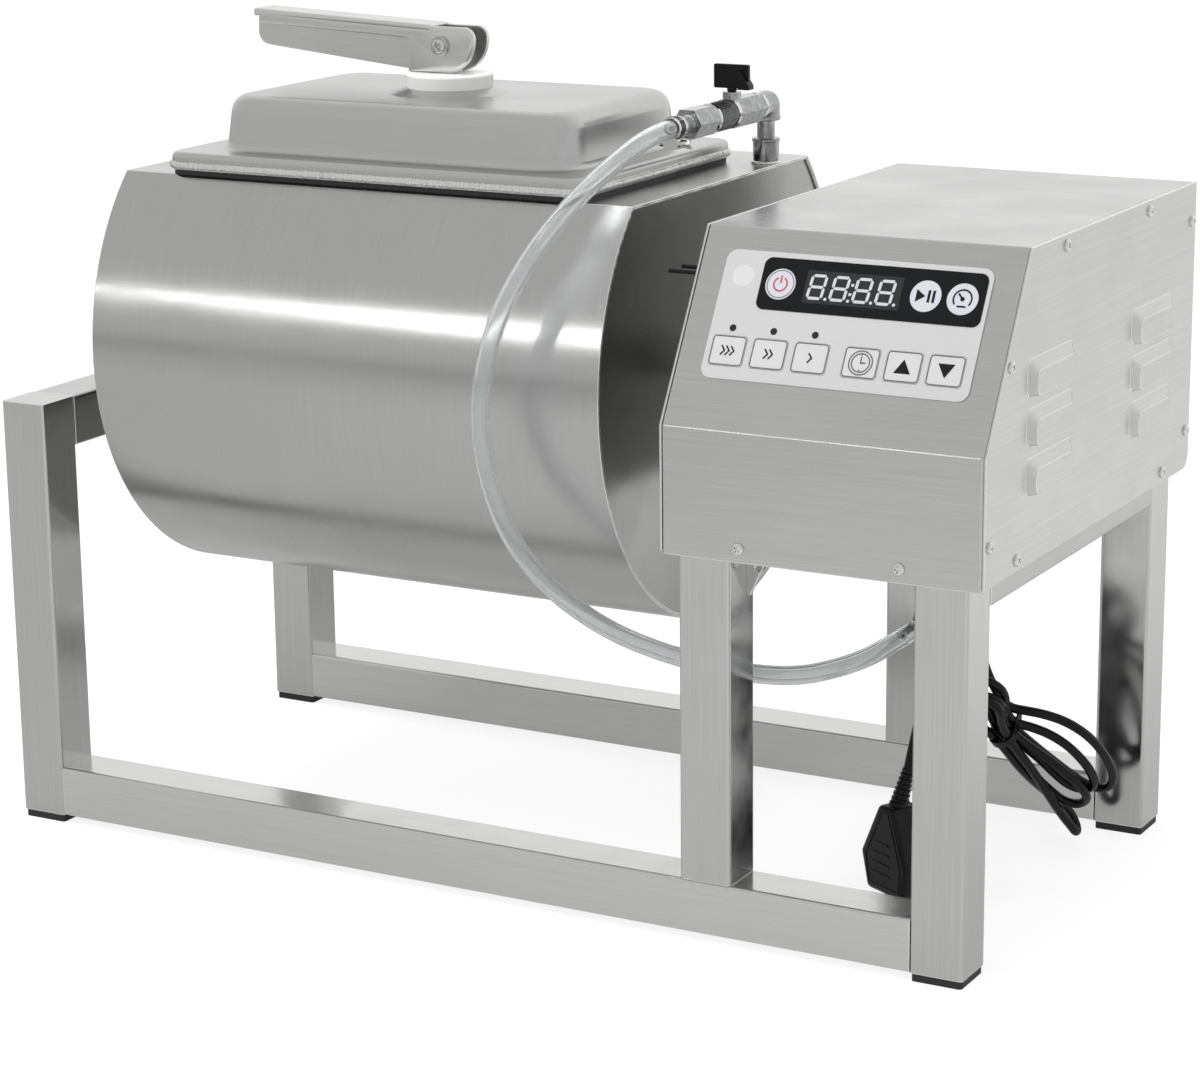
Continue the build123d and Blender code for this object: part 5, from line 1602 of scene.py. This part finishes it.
@dataclass
class MainsCord:
    """The black mains lead: down from its gland, through a tied hank, and up and over to its plug."""

    diameter: float = 7.2
    tie: tuple[float, float, float] = (327.5, 53.1, 112.0)
    hank_x: tuple[float, float, float] = (0.2236, 0.6261, -0.7454)
    hank_y: tuple[float, float, float] = (0.9657, -0.0466, 0.2506)
    lead: tuple[tuple[float, float, float], ...] = (
        (316.5, 47.1, 275.0),
        (315.5, 46.1, 250.0),
        (309.0, 42.5, 218.0),
        (308.5, 42.5, 186.0),
        (312.5, 45.1, 160.0),
    )
    # Each turn: along the hank's line, across it and off its plane, from the tie and back to it.
    hank: tuple[tuple[float, float, float], ...] = (
        (-20, 3, -11),
        (-8, 6, -11),
        (-3, 16, -11),
        (4, 29, -11),
        (16, 42, -11),
        (36, 51, -11),
        (60, 53, -11),
        (82, 50, -11),
        (97, 44, -10),
        (104, 33, -10),
        (97, 22, -10),
        (80, 15, -10),
        (46, 5, -10),
        (22, -2, -11),
        (5, -5, -11),
        (-10, -7, -11),
        (-27, -14, -10),
        (-42, -17, -9),
        (-53, -10, -8),
        (-54, 3, -7),
        (-44, 14, -5),
        (-34, 15, -4),
        (-22, 10, -4),
        (-8, 5, -3.6),
        (2, 8, -3.6),
        (9, 18, -3.6),
        (20, 28, -3.6),
        (36, 36, -3),
        (58, 39, -3),
        (75, 38, -3),
        (88, 34, -3),
        (93, 24, -3),
        (87, 14, -3),
        (72, 9, -3),
        (48, 5, -3.6),
        (24, -2, -3.6),
        (6, -5, -3.6),
        (-10, -7, -3),
        (-26, -15, -1),
        (-41, -18, 2),
        (-51, -10, 5),
        (-51, 3, 8),
        (-41, 14, 10),
        (-31, 14, 11),
        (-20, 9, 11),
        (-6, 5, 11),
        (10, 4, 11),
        (40, 5, 11),
        (80, 3, 12),
        (102, 2.5, 12.5),
        (115, 3, 12.5),
        (125.5, 3, 12.5),
        (130.5, 1.2, 7.8),
        (130.5, -1.2, 1.2),
        (125.5, -3, -3.5),
        (115, -3, -3.5),
        (102, -3, -2),
        (80, -4, 4),
        (40, -4, 11),
        (10, -4, 11),
        (-8, -6, 11),
        (-24, -13, 11),
        (-39, -17, 9),
        (-49, -10, 7),
        (-49, 2, 5),
        (-40, 12, 4),
        (-30, 13, 4),
        (-20, 8, 3.6),
        (-6, 4, 3.6),
        (10, 6, 3.6),
        (28, 13, 4),
        (50, 21, 4),
        (70, 26, 4),
        (86, 28, 4),
        (98, 24, 3),
        (103, 14, 3),
        (97, 4, 3),
        (82, 0, 3),
        (60, -3, 3.6),
        (30, -4, 3.6),
        (8, -5, 3.6),
        (-10, -5, 2),
    )
    plug_lead: tuple[tuple[float, float, float], ...] = (
        (319.5, 38.1, 132.0),
        (313.0, 27.5, 146.0),
        (303.5, 10.5, 155.0),
        (295.0, -7.5, 153.0),
        (290.0, -21.5, 138.0),
        (288.0, -29.0, 118.0),
        (285.5, -33.0, 97.0),
    )
    length: float = 1628.0
    tie_length: float = 6.4
    tie_outer: tuple[float, float, float] = (21.5, 34.5, 8.5)
    tie_inner: tuple[float, float, float] = (18.6, 31.6, 7.4)
    plug_foot: tuple[float, float, float] = (275.5, -33.9, 0.0)
    plug_turn: float = 28.0
    plug_thickness: float = 26.0
    plug_outline: tuple[Point, ...] = ((25, 1), (29, 28), (13, 70), (-4, 70), (-25, 29), (-17, 1))
    plug_rounding: float = 3.4
    grip_border: Point = (6.0, 7.4)
    grip_sink: float = 0.4
    grip_rise: float = 0.6
    grip_bars: tuple[float, ...] = (16.0, 24.0, 32.0, 40.0)
    relief_foot: tuple[float, float, float] = (279.5, -36.0, 69.0)
    relief_ribs: int = 6
    relief_radius: float = 6.9
    relief_taper: float = 1.9
    blade_size: Point = (2.0, 6.4)
    blade_reach: float = 17.0
    blade_sink: float = 1.0
    blade_spots: tuple[Point, ...] = ((-9.0, 24.0), (9.0, 24.0))
    earth_spot: Point = (0.0, 42.0)

    def hank_place(self) -> Place:
        """Return the plane in which the tied turns lie, with its origin at the tie."""
        return Place(self.tie, self.hank_x, self.hank_y)

    def build_tie(self) -> bpy.types.Object:
        """Build the band that holds the turns together.

        Returns:
            The band.
        """
        place = self.hank_place()
        half = self.tie_length / 2
        outer, inner = rounded_rectangle(*self.tie_outer), rounded_rectangle(*self.tie_inner)
        plan = [(outer, -half), (outer, half), (inner, half), (inner, -half)]
        draft = Draft("cord_tie")
        draft.loft([[place.at(x, y, n) for y, n in outline] for outline, x in plan], closed=True)
        return draft.build(ABS, "frame", "cord_rubber", bevel=0.4)

    def build_body(self, place: Place, half: float) -> list[bpy.types.Object]:
        """Build the plug's moulded body and the grip panels on its two sides.

        Args:
            place: The plug's middle plane, with its origin at the foot.
            half: Half its thickness.

        Returns:
            The body and the panels.
        """
        body = Draft("plug_body").prism(place, self.plug_outline, -half, half)
        plug = body.build(ABS, "frame", "cord_rubber", bevel=self.plug_rounding)
        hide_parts("power_plug")
        panel = Draft("plug_grips")
        count = len(self.plug_outline)
        outer, inner = (inward(self.plug_outline, [inset] * count) for inset in self.grip_border)
        for side in (-1, 1):
            low, high = sorted((side * (half - self.grip_sink), side * (half + self.grip_rise)))
            panel.band(place, outer, inner, low, high)
            for rise in self.grip_bars:
                bar = rounded_rectangle(26.0 - 0.2 * rise, 2.4, 1.1, (0.0, rise), 3)
                panel.prism(place, bar, low, high)
        return [plug, panel.build(ABS, "frame", "cord_rubber", bevel=0.35)]

    def build_relief(self) -> bpy.types.Object:
        """Build the ribbed relief, which leans from the plug's top to the end of the cord.

        Returns:
            The relief.
        """
        low, high = Vector(self.relief_foot), Vector(self.plug_lead[-1])
        reach = (high - low).length
        lean = (high - low).normalized()
        across = Vector((0, 1, 0)).cross(lean).normalized()
        place = Place(self.relief_foot, tuple(across), tuple(lean.cross(across)))
        profile = [(7.6, -2.0), (7.4, 2.0)]
        for rib in range(self.relief_ribs):
            rise = 4.0 + rib * (reach - 5.0) / self.relief_ribs
            radius = self.relief_radius - self.relief_taper * rib / (self.relief_ribs - 1)
            groove = radius - 1.0
            profile += [(groove, rise), (radius, rise + 0.5), (radius, rise + 2.2), (groove, rise + 2.7)]
        profile += [(4.6, reach - 0.6), (4.2, reach + 0.8)]
        relief = Draft("plug_relief").lathe(place, profile, 32)
        return relief.build(ABS, "frame", "cord_rubber", sharp=28)

    def build_blades(self, place: Place, half: float) -> bpy.types.Object:
        """Build the plug's two flat blades and its earth blade, which lies crossways.

        Args:
            place: The plug's middle plane, with its origin at the foot.
            half: Half its thickness.

        Returns:
            The three blades as one piece.
        """
        blades = Draft("plug_blades")
        low, high = -half - self.blade_reach, -half + self.blade_sink
        width, height = self.blade_size
        for spot in self.blade_spots:
            blades.prism(place, rounded_rectangle(width, height, 0.5, spot, 2), low, high)
        blades.prism(place, rounded_rectangle(height, width, 0.5, self.earth_spot, 2), low, high)
        return blades.build(NICKEL, "frame", "cord_rubber", bevel=0.4)

    def build_plug(self) -> list[bpy.types.Object]:
        """Build the moulded plug with its grip panels, ribbed relief and blades.

        Returns:
            The plug's pieces.
        """
        turn = math.radians(self.plug_turn)
        place = Place(self.plug_foot, (math.cos(turn), -math.sin(turn), 0.0))
        half = self.plug_thickness / 2
        return [*self.build_body(place, half), self.build_relief(), self.build_blades(place, half)]

    def build(self) -> None:
        """Build the cord as one curve, with its tie and plug."""
        place = self.hank_place()
        turns = [tuple(place.at(*spot) / MM) for spot in self.hank]
        line = smooth_line("mains_cord", [*self.lead, *turns, *self.plug_lead])
        line.data.bevel_depth = self.diameter / 2 * MM
        line.data.bevel_resolution = 4
        line.data.use_fill_caps = True
        line.data.materials.append(CORD_SKIN.material())
        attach(line, "frame")
        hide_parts("cord_lead", "cord_hank", "plug_lead")
        self.build_tie()
        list(self.build_plug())
        LOG.info("mains_cord rides on frame")


@dataclass(frozen=True)
class Ramp:
    """A level that changes along an axis, from low at its start to high at its end."""

    axis: str
    start: float
    end: float
    low: float = 0.0
    high: float = 1.0

    def settings(self) -> dict[str, float]:
        """Return the ramp as the settings of a node."""
        return {"From Min": self.start, "From Max": self.end, "To Min": self.low, "To Max": self.high}


@dataclass(frozen=True)
class Lamp:
    """A soft box that the camera doesn't see, in metres and watts.

    Without lit nodes it lights everything and nothing mirrors it. With them it lights those nodes alone,
    and they mirror it.
    """

    name: str
    spot: tuple[float, float, float]
    aim: tuple[float, float, float]
    size: Point
    power: float
    lit: tuple[str, ...] = ()

    def build(self) -> None:
        """Set the lamp up."""
        light = bpy.data.lights.new(self.name, "AREA")
        light.shape = "RECTANGLE"
        light.size, light.size_y = self.size
        light.energy = self.power
        box = bpy.data.objects.new(self.name, light)
        box.location = self.spot
        box.rotation_euler = (Vector(self.aim) - Vector(self.spot)).to_track_quat("-Z", "Y").to_euler()
        box.visible_camera = False
        box.visible_glossy = bool(self.lit)
        if self.lit:
            receivers = bpy.data.collections.new(f"{self.name}_receivers")
            for node in self.lit:
                receivers.objects.link(FRAME["nodes"][node])
            box.light_linking.receiver_collection = receivers
        bpy.context.scene.collection.objects.link(box)


@dataclass
class Studio:
    """The plain white studio: camera, floor, world and lamps. The camera's turns are in radians."""

    yaw: float = 0.505737
    pitch: float = -0.253761
    roll: float = -0.0116424
    lens: float = 100.336
    sensor: float = 36.0
    eye: tuple[float, float, float] = (1230.17, -2206.77, 885.04)
    # The world as the eye sees it, as it lights matt things, and as metal mirrors it: paler behind.
    sky_seen: float = 1.15
    sky_light: float = 0.62
    sky_mirrored: Ramp = Ramp("Y", 0.1, 0.75, 0.7, 1.02)
    # The floor as the eye sees it, and how much of it glows. Metal mirrors it paler at the right: the
    # front of it by near, dimmed by fade and under, and past depth the rear of it by far.
    floor_reach: float = 9.0
    floor_seen: float = 1.22
    floor_glow: float = 0.68
    near: Ramp = Ramp("X", -0.9, 0.5, 0.56, 0.95)
    fade: Ramp = Ramp("Y", -2.4, -0.6, 0.78, 1.0)
    under: Ramp = Ramp("Y", -1.3, -0.5, 1.0, 0.78)
    far: Ramp = Ramp("X", 0.05, 0.8, 0.22, 1.05)
    depth: Ramp = Ramp("Y", 0.12, 0.5)
    # A broad lamp overhead and a fill at the left, then the strips that draw one highlight each.
    lamps: tuple[Lamp, ...] = (
        Lamp("overhead_box", (-0.3, -0.4, 3.2), (0, 0, 0.3), (2.6, 2.6), 72.0),
        Lamp("left_box", (-2.6, -1.6, 1.9), (0, 0, 0.3), (1.2, 1.6), 20.0),
        Lamp(
            "drum_strip", (-1.35, -2.3, 1.06), (-0.1, -0.19, 0.42), (0.9, 0.014), 1.5, ("drum_barrel",)
        ),
        Lamp(
            "fold_strip", (-0.63, -2.2, 1.12), (0.3, -0.235, 0.42), (0.7, 0.25), 3.0, ("housing_wrap",)
        ),
        Lamp("drum_glint", (-1.12, -2.3, 1.05), (0.0, -0.19, 0.42), (0.1, 0.3), 2.0, ("drum_barrel",)),
    )

    def build_camera(self) -> None:
        """Set the camera where the photograph was taken from."""
        forward = Vector(
            (
                -math.sin(self.yaw) * math.cos(self.pitch),
                math.cos(self.yaw) * math.cos(self.pitch),
                math.sin(self.pitch),
            )
        )
        right = Vector((math.cos(self.yaw), math.sin(self.yaw), 0))
        up = right.cross(forward)
        turned_right = right * math.cos(self.roll) + up * math.sin(self.roll)
        turned_up = up * math.cos(self.roll) - right * math.sin(self.roll)
        camera = bpy.data.cameras.new("photo_camera")
        camera.sensor_fit = "HORIZONTAL"
        camera.sensor_width = self.sensor
        camera.lens = self.lens
        camera.clip_end = 60.0
        view = bpy.data.objects.new("photo_camera", camera)
        axes = Matrix((turned_right, turned_up, -forward)).transposed().to_4x4()
        view.matrix_world = Matrix.Translation(Vector(self.eye) * MM) @ axes
        bpy.context.scene.collection.objects.link(view)
        bpy.context.scene.camera = view

    def seen_by(
        self, tree: bpy.types.NodeTree, ray: bpy.types.Node, kinds: Sequence[str]
    ) -> bpy.types.NodeSocket:
        """Return a socket that is one for the named kinds of ray, and nought for the others.

        Args:
            tree: The node tree that takes the nodes.
            ray: Its Light Path node.
            kinds: The names of that node's outputs.

        Returns:
            The socket.
        """
        seen = ray.outputs[kinds[0]]
        for kind in kinds[1:]:
            either = {0: seen, 1: ray.outputs[kind]}
            seen = add_node(tree, "ShaderNodeMath", {"operation": "MAXIMUM"}, either).outputs[0]
        return seen

    def build_world(self) -> None:
        """Make the world white to the eye, and a soft room to the metal."""
        world = bpy.data.worlds.new("white_studio")
        bpy.context.scene.world = world
        world.use_nodes = True
        tree = world.node_tree
        tree.nodes.clear()
        ray = add_node(tree, "ShaderNodeLightPath")
        way = add_node(tree, "ShaderNodeTexCoord").outputs["Generated"]
        parts = add_node(tree, "ShaderNodeSeparateXYZ", links={"Vector": way})
        ramp = self.sky_mirrored
        room = add_node(tree, "ShaderNodeMapRange", ramp.settings(), {"Value": parts.outputs[ramp.axis]})
        lit = {0: ray.outputs["Is Glossy Ray"], 3: room.outputs["Result"]}
        light = add_node(tree, "ShaderNodeMix", {2: self.sky_light}, lit)
        seen = self.seen_by(tree, ray, ("Is Camera Ray", "Is Transmission Ray"))
        level = add_node(tree, "ShaderNodeMix", {3: self.sky_seen}, {0: seen, 2: light.outputs[0]})
        white = {"Color": linear_colour("#FFFFFF")}
        sky = add_node(tree, "ShaderNodeBackground", white, {"Strength": level.outputs[0]})
        add_node(tree, "ShaderNodeOutputWorld", links={"Surface": sky.outputs["Background"]})

    def floor_mirrored(self, tree: bpy.types.NodeTree) -> bpy.types.NodeSocket:
        """Return the socket that gives the floor's level in the metal that mirrors it.

        Args:
            tree: The floor material's node tree.

        Returns:
            The socket.
        """
        place = add_node(tree, "ShaderNodeTexCoord").outputs["Object"]
        parts = add_node(tree, "ShaderNodeSeparateXYZ", links={"Vector": place})
        near, fade, under, far, depth = (
            add_node(
                tree, "ShaderNodeMapRange", ramp.settings(), {"Value": parts.outputs[ramp.axis]}
            ).outputs["Result"]
            for ramp in (self.near, self.fade, self.under, self.far, self.depth)
        )
        front = near
        for dimming in (fade, under):
            both = {0: front, 1: dimming}
            front = add_node(tree, "ShaderNodeMath", {"operation": "MULTIPLY"}, both).outputs[0]
        return add_node(tree, "ShaderNodeMix", links={0: depth, 2: front, 3: far}).outputs[0]

    def build_floor(self) -> None:
        """Lay a pale floor that keeps the soft shadow under the machine."""
        mesh = bpy.data.meshes.new("studio_floor")
        reach = self.floor_reach
        corners = [(-reach, -reach, 0), (reach, -reach, 0), (reach, reach, 0), (-reach, reach, 0)]
        mesh.from_pydata(corners, [], [(0, 1, 2, 3)])
        floor = bpy.data.objects.new("studio_floor", mesh)
        bpy.context.scene.collection.objects.link(floor)
        material = bpy.data.materials.new("matt_white_floor")
        material.use_nodes = True
        tree = material.node_tree
        tree.nodes.clear()
        ray = add_node(tree, "ShaderNodeLightPath")
        levels = {0: ray.outputs["Is Glossy Ray"], 3: self.floor_mirrored(tree)}
        level = add_node(tree, "ShaderNodeMix", {2: self.floor_seen}, levels).outputs[0]
        seen = self.seen_by(tree, ray, ("Is Camera Ray", "Is Glossy Ray", "Is Transmission Ray"))
        share = add_node(
            tree, "ShaderNodeMath", {"operation": "MULTIPLY", 1: self.floor_glow}, {0: seen}
        ).outputs[0]
        matt = add_node(tree, "ShaderNodeBsdfDiffuse", {"Color": linear_colour("#F2F2F2")})
        white = {"Color": linear_colour("#FFFFFF")}
        glow = add_node(tree, "ShaderNodeEmission", white, {"Strength": level})
        mixed = add_node(
            tree,
            "ShaderNodeMixShader",
            links={0: share, 1: matt.outputs["BSDF"], 2: glow.outputs["Emission"]},
        )
        add_node(tree, "ShaderNodeOutputMaterial", links={"Surface": mixed.outputs["Shader"]})
        mesh.materials.append(material)

    def build(self) -> None:
        """Build the studio."""
        self.build_camera()
        self.build_world()
        self.build_floor()
        for lamp in self.lamps:
            lamp.build()
        bpy.context.scene.view_settings.view_transform = "Standard"


def main() -> None:
    """Load the frame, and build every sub-assembly."""
    logging.basicConfig(level=logging.INFO, format="%(name)s: %(message)s")
    FRAME.update(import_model())
    parts = (TubeFrame(), InnerParts(), ControlBox(), KeyPanel(), Drum(), Lid(), CamLever(), Valve())
    for part in (*parts, VacuumHose(), MainsCord(), Studio()):
        LOG.info("building %s", type(part).__name__)
        part.build()


if __name__ == "__main__":
    main()
